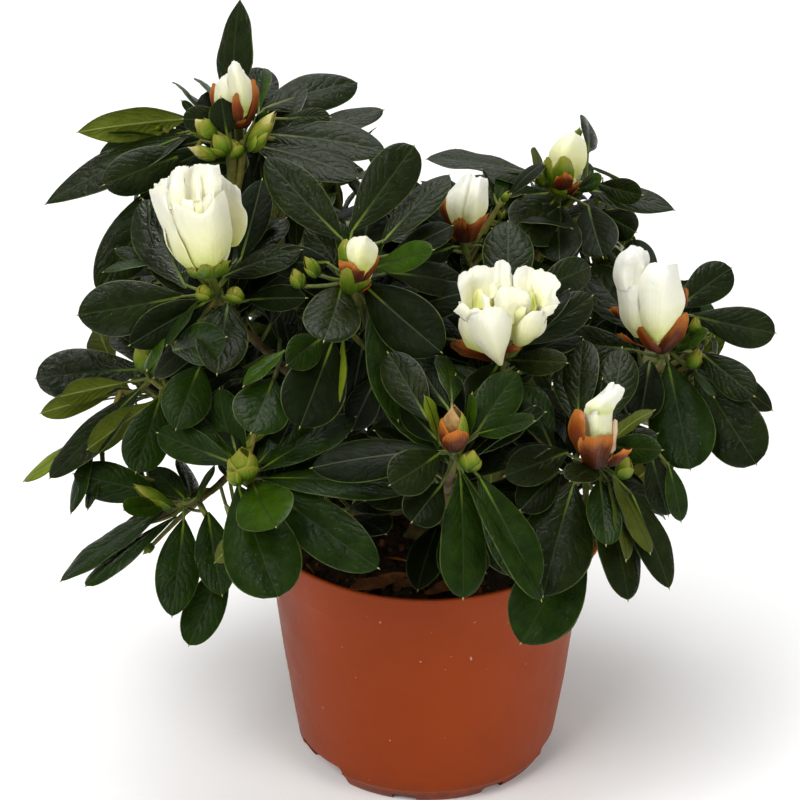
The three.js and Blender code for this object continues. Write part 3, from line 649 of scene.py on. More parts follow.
rng = np.random.default_rng(9338)
stem_bag = Bag("stem_bark", ["bark"], "bark")
path = curve(STEM_PATH, 16)
tt = np.linspace(0, 1, len(path))
tube(stem_bag, path, 5.6 - 0.9 * tt + 2.6 * np.exp(-9 * tt), "bark", 30, 0.05, rng)
limb = {}
bough_bags = []
for name, tier, deg, mass in BOUGHS:
    z0 = 100.0 if tier else 89.0
    c = ends[mass]
    start = np.array([0.5, 0.1, z0 - 2.0])
    p1 = np.array([0.5, 0.1, z0 + (5 if tier else 3)]) + polar(deg, 10 if tier else 13)
    p2 = p1 * 0.5 + c * 0.5 + np.array([0, 0, -3.0 if tier else -7.0])
    p3 = p2 * 0.35 + c * 0.65 + np.array([0, 0, -2.0])
    line = curve([start, p1, p2, p3, c], 12)
    w = np.linspace(0, 1, len(line))
    wob = np.cumsum(rng.normal(0, 0.22, line.shape), axis=0) * (w * (1 - w) * 4)[:, None]
    line = line + wob * 0.6
    r = 2.35 - 1.25 * w ** 0.8 + 0.9 * np.exp(-w * 22)
    r = r * (1 + 0.06 * np.sin(w * 31 + deg))
    bag = Bag(name + "_bark", ["bark", "twig"], "bark")
    k = int(len(line) * 0.82)
    tube(bag, line[:k + 1], r[:k + 1], "bark", 14, 0.09, rng)
    tube(bag, line[k - 1:], r[k - 1:] * 0.97, "twig", 12, 0.06, rng)
    bough_bags.append((bag, name))
    limb[mass] = line
twigs = Bag("twigs", ["twig", "bark", "petiole", "scale_green", "scale_brown"], "bark")
for mass, other in GROWN_FROM.items():
    c = ends[mass]
    line = limb[other]
    k = int(len(line) * (0.42 if mass not in ("foliage_lower_left", "foliage_side_right") else 0.55))
    a = line[k]
    b = a * 0.5 + c * 0.5 + np.array([0, 0, -4.0]) + unit(c * [1, 1, 0]) * 4
    line = curve([line[k - 3], a, b, c], 12)
    w = np.linspace(0, 1, len(line))
    line = line + (np.cumsum(rng.normal(0, 0.2, line.shape), axis=0) * (w * (1 - w) * 4)[:, None]) * 0.6
    k = int(len(line) * 0.6)
    tube(twigs, line[:k + 1], (1.65 - 0.75 * w)[:k + 1], "bark", 12, 0.08, rng)
    tube(twigs, line[k - 1:], (1.62 - 0.75 * w)[k - 1:], "twig", 10, 0.05, rng)
    limb[mass] = line

# ------------------------------------------------------------------ leaves
leaves_front = Bag("leaves_front", LEAF_SLOTS, "leaf")
leaves_crown = Bag("leaves_crown", LEAF_SLOTS, "leaf")
leaves_side = Bag("leaves_side", LEAF_SLOTS, "leaf")
leaves_back = Bag("leaves_back", LEAF_SLOTS, "leaf")


def stalk(nodes, B, a, rng, thick=0.55):
    """Tie a leaf's base to the nearest twig; a far one gets a twig of its own."""
    P = np.array(nodes)
    # lower points of the shoot carry the leaves that point away or down
    d = np.linalg.norm(P - (B - a * 3.0), axis=1)
    k = int(d.argmin())
    J = P[k]
    far = np.linalg.norm(B - J)
    if far > 12.0:
        E = B - a * 3.0
        m = (J + E) / 2 + rng.normal(0, 0.9, 3) + np.array([0, 0, -0.06 * far])
        line = curve([J, m, E], 7)
        tube(twigs, line, np.linspace(1.05, 0.75, len(line)), "twig", 8, 0.06, rng)
        nodes.extend(list(line[3:]))
        J = E
    m = (J + B) / 2 + a * 0.2 + np.array([0, 0, -0.25])
    line = curve([J, m, B + a * 1.2], 4)
    tube(twigs, line, np.linspace(0.66, 0.42, len(line)), "petiole", 7)


def hero_leaf(bag, zc, row, nodes, rng):
    bx, by, tx, ty, w, tone = row[:6]
    flip = "u" in row[6:]
    nums = [v for v in row[6:] if not isinstance(v, str)]
    pr = math.hypot(tx - bx, ty - by) * zc / FOCAL_PX
    dd = nums[0] if nums else math.copysign(math.sqrt(max(0.0, 37.0 ** 2 - pr ** 2)), ty - by)
    near = nums[1] if len(nums) > 1 else 0.0
    B, T = at_depth(bx, by, zc - near), at_depth(tx, ty, zc - near - dd)
    L = np.linalg.norm(T - B)
    a = (T - B) / L
    wm = w * zc / FOCAL_PX
    W = max(wm, (0.24 if "n" in row[6:] else 0.40) * L if L < 37 else 15.0)
    view = unit((B + T) / 2 - EYE)
    n0 = unit(-view + (view @ a) * a)
    if flip:
        n0 = -n0
    roll = math.acos(min(1.0, wm / W))
    s = np.cross(a, n0)
    best = max((n0 * math.cos(q) + s * math.sin(q) for q in (roll, -roll)), key=lambda v: v[2])
    leaf(bag, B, T, W, best, tone, rng, True, rng.uniform(0.0, 0.035), rng.uniform(0.8, 0.95) if "p" in row[6:] else None)
    stalk(nodes, B, a, rng)


def whorl(bag, C, A, count, size, nodes, rng, spread=(48, 100), tones="ddgggkk", keep=None, fine=False, first=0.0):
    A = unit(A)
    X = unit(np.cross(A, [0.31, 0.17, 0.93] if abs(A[2]) < 0.9 else [0.0, 1.0, 0.1]))
    Y = np.cross(A, X)
    made = 0
    for k in range(count):
        f = k / max(1, count - 1)
        az = first + k * 2.39996 + rng.normal(0, 0.22)
        th = math.radians(spread[0] + (spread[1] - spread[0]) * f + rng.normal(0, 7))
        r = math.cos(az) * X + math.sin(az) * Y
        L = size * rng.uniform(0.78, 1.12) * (0.74 + 0.26 * f)
        for attempt in range(5):
            a = unit(math.cos(th) * A + math.sin(th) * r + np.array([0, 0, -0.12]))
            N = unit(math.sin(th) * A - math.cos(th) * r + np.array([0, 0, 0.35]) + rng.normal(0, 0.16, 3))
            B = C - A * (1.0 + 6.5 * f) + a * 3.6
            T = B + a * L
            W = L * rng.uniform(0.38, 0.5)
            if allowed(B, T, W, N) and (keep is None or keep(a, B, T)):
                leaf(bag, B, T, W, N, tones[int(rng.integers(len(tones)))], rng, fine)
                stalk(nodes, B, a, rng)
                made += 1
                break
            L *= 0.86
            az += rng.normal(0, 0.25)
            th += rng.normal(0, 0.12)
            r = math.cos(az) * X + math.sin(az) * Y
    return made


def side_shoots(bag, line, A, count, size, nodes, rng, reach=(16, 28), tones="dggkk", keep=None, leafy=(4, 7), fine=False):
    """Side twigs off the last part of a limb, each with a small whorl."""
    n = len(line)
    for k in range(count):
        j = int(n * rng.uniform(0.62, 0.93))
        J = line[j]
        t = unit(line[min(j + 1, n - 1)] - line[j - 1])
        out = unit(J * [1, 1, 0])
        for attempt in range(8):
            az = k * 2.39996 + rng.uniform(-0.6, 0.6) + attempt * 0.8
            X = unit(np.cross(t, [0.2, 0.1, 0.97])); Y = np.cross(t, X)
            d = unit(0.75 * t + math.cos(az) * X + math.sin(az) * Y + out * 0.35 + np.array([0, 0, 0.25]))
            R = rng.uniform(*reach)
            E = J + d * R + np.array([0, 0, 0.08 * R])
            x, y = pixel(E[None])[0]
            if not inside(x, y) or (keep is not None and not keep(d, J, E)):
                continue
            if (E / 1000 < np.array(CAD_BOX[0]) + 0.012).any() or (E / 1000 > np.array(CAD_BOX[1]) - 0.012).any():
                continue
            if math.hypot(E[0], E[1]) < 58 and E[2] < 98:
                continue
            tw = curve([J, (J + E) / 2 + rng.normal(0, 0.8, 3) - np.array([0, 0, 1.0]), E], 7)
            tube(twigs, tw, np.linspace(1.1, 0.72, len(tw)), "twig", 8, 0.06, rng)
            own = list(tw[5:])
            whorl(bag, E, unit(tw[-1] - tw[-3]) + np.array([0, 0, 0.35]), int(rng.integers(leafy[0], leafy[1] + 1)), size * rng.uniform(0.6, 0.9),
                  own, rng, (35, 88), tones, keep, fine, rng.uniform(0, 6.3))
            # the small green bud at the twig's end
            leaf_bud(E, tw[-1] - tw[-3], rng.uniform(3.0, 5.0), rng.uniform(0.9, 1.3), rng)
            break


# ------------------------------------------------------------------ petals, buds, scales
blooms = Bag("blooms_front", ["petal", "petal_cream", "petal_light"], None)
blooms_inner = Bag("blooms_inner", ["petal", "petal_cream", "petal_light"], None)
blooms_back = Bag("blooms_back", ["petal", "petal_cream", "petal_light"], None)
scales = Bag("bud_scales", ["scale_rust", "scale_brown", "scale_green", "scale_pale", "scale_tan", "scale_pink"], None)


def petal(bag, C, A, phi, half, H, R, slot, rng, ruffle=0.0, lap=0.0, drop=0.3, flare=0.0, twist=0.0, n=(12, 12), th=0.45,
          pointed=False, lean=0.0):
    """A petal or scale: part of a round cup about the axis A, phi = -90 towards the viewer."""
    A = unit(A)
    X = unit(RIGHT - (RIGHT @ A) * A)
    Y = np.cross(A, X)
    phi, half = math.radians(phi), math.radians(half)
    v = np.linspace(0, 1, n[0] + 1)[:, None]
    u = np.linspace(-1, 1, n[1] + 1)[None, :]
    if pointed:
        wide = (0.75 + 0.35 * np.sqrt(v)) * np.clip(1 - v ** 1.9, 0.0, 1) ** 0.62 + 0.02
    else:
        wide = (0.45 + 0.55 * np.sqrt(v)) * (1 - 0.3 * v ** 8)
    ang = phi + half * wide * u + math.radians(twist) * v
    p = rng.uniform(0, 6.3, 4)
    rr = R(v) + lap + flare * v ** 3 + ruffle * v ** 4 * (np.sin(u * 6.5 + p[0]) + 0.55 * np.sin(u * 13 + p[1])) + 0 * u
    h = H * v - drop * H * u ** 2 * v ** 2 + 0.42 * ruffle * v ** 4 * (np.sin(u * 7 + p[2]) + 0.35 * np.sin(u * 13 + p[3]))
    P = (C[None, None] + h[..., None] * A + rr[..., None] * (np.cos(ang)[..., None] * X + np.sin(ang)[..., None] * Y)
         + (lean * v ** 2)[..., None] * (math.cos(phi) * X + math.sin(phi) * Y))
    uv = np.stack([v + 0 * u, u * 0.5 + 0.5 + 0 * v], -1)
    thick = th * (1 - 0.45 * v ** 3) * (1 - 0.5 * np.abs(u) ** 4)
    # normal outwards
    sheet(bag, P[:, ::-1], thick, bag.m(slot), bag.m(slot), None, uv[:, ::-1])


def cup(rm, r0=1.4, k=0.8):
    return lambda v: r0 + (rm - r0) * np.sin(np.clip(v * 1.1, 0, 1) * math.pi / 2) ** k


def smooth(t):
    t = np.clip(t, 0, 1)
    return t * t * (3 - 2 * t)


def tulip(rm, foot=0.32, top=0.9, at=0.62):
    """Rises from a narrow foot, widest at a share of its height, and draws in at the top."""
    return lambda v: rm * (foot + (1 - foot) * np.sin(np.clip(v / at, 0, 1) * math.pi / 2) ** 0.85) * (1 - (1 - top) * smooth((v - at) / (1.001 - at)))


def ovoid(rm, a=0.05, b=0.90, k=0.75, p=0.85):
    return lambda v: rm * np.sin(math.pi * (a + b * v ** p)) ** k


def bud(C, A, H, rm, rng, slot="petal", petals=5, scales_n=7, cover=0.5, kinds=("scale_rust", "scale_brown", "scale_green"), tip=0.34, turn=None, at=0.45):
    A = unit(A)
    first = rng.uniform(0, 360) if turn is None else turn
    shape = tulip(rm, 0.5, tip, at)
    for k in range(petals):
        petal(blooms_back, C, A, first + k * 360 / petals * 1.06, 70, H * (1 - 0.05 * (k % 3)), tulip(rm * (0.90 + 0.025 * k), 0.5, tip + 0.04 * (k % 2), at), slot, rng,
              0.28, 0.0, 0.14, twist=26, n=(16, 14))
    for k in range(3):
        petal(blooms_back, C, A, first + 60 + k * 120, 75, H * (1.03 - 0.03 * k), tulip(rm * 0.66, 0.6, 0.22, 0.4), slot, rng, 0.2, 0.0, 0.1, twist=40, n=(10, 10))
    for k in range(scales_n):
        f = k / max(1, scales_n - 1)
        ln = cover * (1.1 - 0.55 * f) * rng.uniform(0.85, 1.15)
        petal(scales, C - A * (0.5 + 1.1 * f), A, first + 200 + k * 137.5, 56, H * ln,
              lambda v, f=f, ln=ln: tulip(rm, 0.5, tip, at)(v * ln) + 0.35 + 0.35 * f, kinds[int(rng.integers(len(kinds)))], rng,
              0.12, 0.0, 0.05, flare=0.35 * rng.random(), n=(10, 8), th=0.3, pointed=True)


def leaf_bud(C, A, H, rm, rng, slot="scale_green"):
    """A small resting bud: green scales that lie close on one another."""
    A = unit(A)
    first = rng.uniform(0, 360)
    body = ovoid(rm * 0.92, 0.10, 0.88)
    if rm > 1.5:
        # what the scales close over
        v = np.array([0.05, 0.25, 0.5, 0.74, 0.92])
        tube(scales, C + (H * 0.97 * v)[:, None] * A, np.maximum(body(v) - 0.3, 0.15), "scale_green", 8)
    for k, (turn, f, wide) in enumerate(((0, 1.0, 98), (180, 0.97, 98), (80, 0.78, 82), (250, 0.64, 82))):
        petal(scales, C, A, first + turn, wide, H * f, lambda v, f=f, k=k: body(v * f) + 0.13 * k, slot if k < 2 else "scale_green", rng,
              0.0, 0.0, 0.05, n=(6, 5), th=0.2, pointed=True)


def spline_weights(k, n):
    """Uniform Catmull-Rom weights from k control points to n + 1 points."""
    W = np.zeros((n + 1, k))
    for r, x in enumerate(np.linspace(0, k - 1, n + 1)):
        i = min(int(x), k - 2)
        t = x - i
        c = [-0.5 * t + t * t - 0.5 * t ** 3, 1 - 2.5 * t * t + 1.5 * t ** 3, 0.5 * t + 2 * t * t - 1.5 * t ** 3, -0.5 * t * t + 0.5 * t ** 3]
        for d, w in zip((-1, 0, 1, 2), c):
            j = i + d
            if j < 0:
                W[r, 0] += 2 * w; W[r, 1] -= w
            elif j > k - 1:
                W[r, k - 1] += 2 * w; W[r, k - 2] -= w
            else:
                W[r, j] += w
    return W


def patch(bag, y, rows, slot, rng, ripple=0.35, n=(20, 20), th=0.4, side=0.1, tone=(0.0, 1.0)):
    """A petal or scale laid through rows of points from foot to rim: pixel of the view and how far in front of the plane y."""
    P = np.array([[at_y(px, py, y - t) for px, py, t in row] for row in rows])
    P = np.einsum("ai,bj,ijk->abk", spline_weights(P.shape[0], n[0]), spline_weights(P.shape[1], n[1]), P)
    N = unit(np.cross(np.gradient(P, axis=1), np.gradient(P, axis=0)))
    along = unit(np.gradient(P, axis=0))
    v = np.linspace(0, 1, n[0] + 1)[:, None]
    u = np.linspace(-1, 1, n[1] + 1)[None, :]
    p = rng.uniform(0, 6.3, 6)
    k1, k2 = 5.0 + 0.8 * len(rows[0]), 12.0 + 2.4 * len(rows[0])
    # soft folds in and out, and round lobes along the rim
    P = P + N * (0.9 * ripple * v ** 2.2 * (np.sin(u * k1 * 0.8 + p[0]) + 0.4 * np.sin(u * k2 * 0.7 + p[1])) + side * u ** 4 * np.sin(v * 11 + p[2] + np.sign(u)))[..., None]
    lobes = 0.8 * np.abs(np.sin(u * k1 + p[3] + 0.8 * np.sin(u * 3 + p[4]))) ** 0.7 + 0.45 * np.abs(np.sin(u * k2 * 0.7 + p[5]))
    P = P + along * (1.5 * ripple * v ** 6 * (lobes - 0.8))[..., None]
    uv = np.stack([tone[0] + (tone[1] - tone[0]) * v + 0 * u, u * 0.5 + 0.5 + 0 * v], -1)
    thick = th * (1 - 0.5 * v ** 3) * (1 - 0.6 * np.abs(u) ** 4)
    sheet(bag, P, thick, bag.m(slot), bag.m(slot), None, uv)


# ------------------------------------------------------------------ growing the shoots
def along_limb(bag, line, nodes_src, rng, step=5.0, size=30, lo=0.30, hi=0.92, tones="kkgkd", keep=None):
    """Single leaves set spirally on the limb itself, which fill the inside of the crown; most take tone k, painted
    shade for the shadowed inside.
    """
    seg = np.linalg.norm(np.diff(line, axis=0), axis=1)
    total = seg.sum()
    at = np.concatenate([[0], np.cumsum(seg)])
    az = rng.uniform(0, 6.3)
    for d in np.arange(total * lo, total * hi, step):
        j = int(np.searchsorted(at, d))
        J = line[min(j, len(line) - 1)]
        t = unit(line[min(j + 1, len(line) - 1)] - line[max(j - 1, 0)])
        X = unit(np.cross(t, [0.2, 0.1, 0.97])); Y = np.cross(t, X)
        for attempt in range(5):
            az += 2.39996 + rng.normal(0, 0.3)
            r = math.cos(az) * X + math.sin(az) * Y
            a = unit(r + t * rng.uniform(0.1, 0.9) + np.array([0, 0, rng.uniform(-0.2, 0.5)]))
            B = J + a * rng.uniform(5, 9)
            L = size * rng.uniform(0.65, 1.1) * (1 - 0.08 * attempt)
            T = B + a * L
            N = unit(unit(J * [1, 1, 0] + [0, 0, 1.0]) * 0.2 + np.array([0, 0, 1.0]) - a * a[2] + rng.normal(0, 0.3, 3))
            if allowed(B, T, L * 0.45, N) and (keep is None or keep(a, B, T)):
                leaf(bag, B, T, L * rng.uniform(0.4, 0.5), N, tones[int(rng.integers(len(tones)))], rng, False)
                tube(twigs, curve([J, (J + B) / 2 - [0, 0, 0.3], B + a * 1.2], 3), 0.6, "petiole", 6)
                break


crown_mid = np.array([-8.0, 0.0, 130.0])
back_dir = lambda a, B, T: a @ FWD > 0.15
for name in MASSES:
    seed = sum(ord(ch) for ch in name) * 7
    rng = np.random.default_rng(seed)
    C = ends[name]
    line = limb[name]
    nodes = list(line[int(len(line) * 0.72):])
    A = unit(unit(line[-1] - line[-4]) + np.array([0, 0, 0.9]) + unit(C - crown_mid) * 0.3)
    hero = name in SHOOT
    if hero:
        zc = depth(C)
        rows = HERO[SHOOT[name]][2]
        order = sorted(rows, key=lambda r: math.hypot(r[0] - HERO[SHOOT[name]][0][0], r[1] - HERO[SHOOT[name]][0][1]))
        for row in order:
            hero_leaf(leaves_front, zc, row, nodes, rng)
        whorl(leaves_crown, C - A * 5, A, 12, 34, nodes, rng, (40, 105), "dggkk", back_dir, False, rng.uniform(0, 6))
        side_shoots(leaves_crown, line, A, 7, 32, nodes, rng, reach=(14, 30), keep=lambda d, J, E: d @ FWD > -0.15)
        along_limb(leaves_crown, line, nodes, rng, 3.6, 30, keep=lambda a, B, T: depth(T) > zc + 4)
    else:
        bag = leaves_back if name in ("foliage_back_left", "foliage_back_centre_left", "foliage_back_centre_right", "foliage_back_right",
                                      "foliage_low_back_left", "foliage_low_back_right") else leaves_side
        whorl(bag, C, A, 15, 36, nodes, rng, (30, 108), "ddgggkb", None, False, rng.uniform(0, 6))
        side_shoots(bag, line, A, 7, 34, nodes, rng, reach=(18, 36), tones="ddggk")
        along_limb(bag, line, nodes, rng, 5.0, 32)
        leaf_bud(C + A * 0.5, A, 6.0, 1.8, rng)


# ------------------------------------------------------------------ blooms and buds in front
rng = np.random.default_rng(4541)


def on_shoot(px, py, y):
    return at_y(px, py, y)


def bloom_stem(C, A, shoot, rng, thick=1.15):
    J = limb[shoot][int(len(limb[shoot]) * 0.94)]
    E = C - unit(A) * 0.2
    m = (J + E) / 2 - unit(A) * 1.0
    line = curve([J, m, E], 6)
    tube(twigs, line, np.full(len(line), thick), "petiole", 9)


WHOLE, UPPER, DEEP = (0.0, 1.0), (0.42, 0.95), (0.0, 0.3)
# F1: a half-open cup, its mouth full of folds
C = at_y(210, 272, -47)
A = unit([-0.12, -0.02, 1.0])
for phi, half, H, R, foot, top in ((35, 45, 22.0, 7.8, 0.30, 0.95), (90, 52, 25.0, 10.2, 0.3, 0.9), (150, 54, 23.0, 11.4, 0.3, 0.95),
                                   (-30, 50, 15.0, 7.2, 0.35, 0.8), (50, 50, 20.5, 8.0, 0.35, 0.86), (120, 55, 21.5, 9.2, 0.35, 0.86), (-160, 50, 17.0, 9.0, 0.35, 0.86), (-95, 50, 14.0, 8.4, 0.35, 0.8),
                                   (10, 60, 16.0, 6.0, 0.4, 0.8), (120, 60, 18.0, 6.4, 0.4, 0.8), (-130, 60, 15.0, 6.2, 0.4, 0.8)):
    petal(blooms_inner, C, A, phi, half, H, tulip(R, foot, top), "petal", rng, 0.4, 0.0, 0.08, 0.2, 4, (14, 20), 0.4)
for rows, sl, rip, tone in (
        # right petal, set apart and behind
        ([[(231, 247, -4), (234, 246.5, -3), (236, 246, -2.5), (238, 245, -2)], [(228, 236, -7), (234, 236, -5.5), (240, 236, -3.5), (244, 235, -2.5)], [(225, 225, -9), (234, 225, -7.5), (241, 225, -5), (247.3, 224, -3)],
          [(223, 213, -10), (232, 213, -8.5), (240, 212, -6), (246.5, 213, -4)], [(221, 203, -11), (228, 203, -10), (235, 202, -8), (241.5, 204, -6)],
          [(219, 190, -12), (226, 191, -11.5), (233, 191, -10), (240.5, 191, -8)], [(218, 173, -13), (225, 178, -12), (231, 183, -11), (238, 188, -10)]], "petal", 0.22, (0.15, 1.0)),
        # the back of the mouth, to the right
        ([[(183, 210, 9), (189, 212, 9.4), (194, 213, 9.5), (200, 212, 9.5), (207, 210, 9), (214, 206, 7.8), (222, 202, 5)], [(184, 192, 2), (189, 192, 1), (194, 192.5, 3.4), (200, 192.5, 4.8), (207, 191.5, 5.4), (214, 190, 4.8), (221, 188, 2.4)],
          [(184.5, 178, -3.4), (189, 177, -4.6), (194, 177.5, -2.6), (200, 178, -1), (206.5, 177, 0), (213, 176.5, 0), (221.5, 177, -2.2)], [(186, 169, -7), (190, 167, -7), (195, 165, -6), (201, 164, -5), (207, 164.3, -4), (212.5, 165.5, -3.8), (219, 164, -4.8)]],
         "petal", 0.2, (0.4, 0.95)),
        # the back of the mouth, to the left, its edge curled over the other
        ([[(163, 208, 8), (170, 209, 10.5), (177, 210, 11.5), (186, 211, 12)], [(164.5, 193, 4), (171, 192, 7), (178, 192, 7.5), (185, 191, 5.5)], [(168, 182, 0.5), (173.5, 180, 2.5), (179, 179.5, 2), (184, 180, 0.5)],
          [(171.5, 171.5, -3), (176, 168, -3), (182, 166, -3.5), (188.5, 167, -5)]], "petal", 0.2, (0.5, 1.0)),
        # its left fold
        ([[(155, 203, 0), (159, 203, 3), (163, 203, 5.5), (168, 204, 8), (175, 206, 10)], [(155, 193, -2), (159, 191.5, 0.5), (163.5, 190.5, 2.5), (168, 189.5, 4.5), (173, 190, 5.5)],
          [(154.5, 184.5, -5), (158, 183, -3.5), (162.5, 179.5, -2.5), (167, 177.5, -1.5), (173, 176.5, -1)]], "petal", 0.3, (0.6, 1.0)),
        # left petal, lying on the front one below, and one with it above
        ([[(188, 269, 1), (191, 270.5, 4), (194, 271.5, 7), (197, 272, 9.2)], [(176, 259.5, 1), (181, 260.5, 7.2), (186, 261, 11.2), (191, 261.5, 13.8)], [(169.5, 246, 0), (174.5, 246, 8), (179.5, 247, 12), (185, 247.5, 14.6)],
          [(164, 231, -1), (169, 231, 7.6), (173, 231, 11.2), (177, 232, 13.8)], [(158, 219, -2), (163, 218, 7), (169, 217.5, 11.4), (176.5, 218, 11.4)], [(153, 205, -3), (158, 204, 4.5), (165, 205, 9.4), (174, 206, 8.4)],
          [(149.5, 190.5, -5), (154, 188, -1), (160, 186.5, 3), (167.5, 188, 5.4)]], "petal", 0.26, WHOLE),
        # front petal, its rim dipping in the middle
        ([[(194, 270, 7), (199, 272, 8.5), (205, 272, 9), (211, 270.5, 9), (217, 268, 7), (223, 262, 3)], [(187, 259, 11), (193, 259.5, 13.2), (201, 259.5, 14.8), (211, 259, 15), (221, 256.5, 12), (229, 250, 5)],
          [(180, 241, 11.6), (188, 241, 14.8), (198, 241, 16.5), (210, 240.5, 17), (222, 238, 13.5), (232, 234, 5)], [(172.5, 227, 10.6), (181.5, 227, 14.6), (194, 227, 16.3), (208, 225, 16.5), (220, 221, 13), (230, 216, 5)],
          [(169, 213, 8.6), (177, 213.5, 13.2), (190, 216, 15.3), (205, 216, 15.5), (217, 208, 12.5), (227.5, 202, 4.5)], [(166.5, 202, 7.5), (175.5, 203, 11.6), (188, 209, 14.3), (203, 214, 14.4), (213.5, 200, 12), (223.5, 190, 4)]], "petal", 0.08, (0.0, 0.9)),
        # the small swirl in the mouth, and the fold that rises from it
        ([[(182, 213, 13), (188, 216, 14), (195, 217, 14.3)], [(181, 205, 11.5), (187.5, 206, 12.6), (194, 208, 12.8)], [(180, 199.5, 9.5), (187, 199.5, 10.2), (194, 202, 10.4)]], "petal", 0.2, (0.55, 0.9)),
        ([[(191, 217, 13.8), (197, 219, 14.2), (205, 219, 13.8)], [(192, 209, 11.8), (197.5, 209, 12.8), (204.5, 210, 12.2)], [(193.5, 202, 9.6), (198.5, 200.5, 10.8), (204, 202.5, 10.2)]], "petal_cream", 0.12, (0.3, 0.8)),
        ([[(194, 208, 10.8), (198, 208, 12), (203, 209, 11)], [(194.5, 196, 8.2), (198, 195, 9.6), (202.5, 196, 8.6)], [(194, 184, 3.6), (197, 183, 5), (201, 184, 4)], [(193, 176, -0.5), (195.5, 173.5, 0.6), (199, 175, 0)]], "petal", 0.2, (0.5, 0.95)),
        ([[(203, 217, 14), (208, 216, 14), (214, 208, 13)], [(203, 206, 11.6), (208, 204, 12.4), (214, 199, 11)], [(204, 198, 9.4), (209, 194, 10.4), (214, 191, 9)]], "petal", 0.2, (0.5, 0.9))):
    patch(blooms, -47, rows, sl, rng, rip, (18, 32 if len(rows[0]) > 4 else 26), tone=tone)
bloom_stem(C, A, "foliage_upper_left", rng)
for k in range(5):
    petal(scales, C - A * 1.2, A, -150 + k * 70, 50, 4.5, ovoid(3.0, 0.1, 0.5), "scale_green", rng, n=(8, 6), th=0.3, pointed=True)
for rows in ([[(197, 277, 9), (204, 279, 11), (212, 277, 10.5)], [(197.5, 271, 11.4), (205, 271, 13), (213, 270.5, 12.4)], [(200, 266.5, 12.4), (204.5, 264.5, 14), (209, 267, 13.6)]],
             [[(210, 278, 8.5), (218, 277, 9), (226, 273, 7)], [(212, 271, 11), (220, 269, 10.8), (229, 265, 7)], [(218, 264, 11.2), (224.5, 261, 9.4), (231.5, 260.5, 6)]],
             [[(190, 276, 6), (195, 278, 8), (200, 278, 9)], [(188, 272, 7), (193, 273, 9.4), (199, 273, 11)], [(188, 268.5, 8), (192, 268, 10.4), (196.5, 270, 11.6)]]):
    patch(scales, -47, rows, "scale_green", rng, 0.5, (14, 14), 0.35)
# F2: a double one, seen as two ruffled lobes over a folded front petal
for (px, py, y), ax, R, H, turn in (((488, 338, -50), (-0.08, -0.05, 1.0), 7.6, 14.0, 30), ((524, 337, -49), (0.08, -0.05, 1.0), 6.0, 14.0, 40)):
    C = at_y(px, py, y)
    A = unit(ax)
    for ring, (rr, hh, num, wd) in enumerate(((R, H * 0.88, 5, 52), (R * 0.68, H * 0.78, 4, 60), (R * 0.38, H * 0.65, 3, 72))):
        for k in range(num):
            front_side = -160 < (turn + ring * 31 + k * 360 / num + 180) % 360 - 180 < -20
            petal(blooms_inner, C, A, turn + ring * 31 + k * 360 / num, wd, hh * rng.uniform(0.94, 1.03) * (0.55 if front_side else 1.0), tulip(rr, 0.34, 0.95, 0.7), "petal_cream" if ring else "petal", rng,
                  0.4, 0.2 * (k % 2), 0.10, 0.2, 5, (14, 20), 0.4)
    bloom_stem(C, A, "foliage_front_centre", rng)
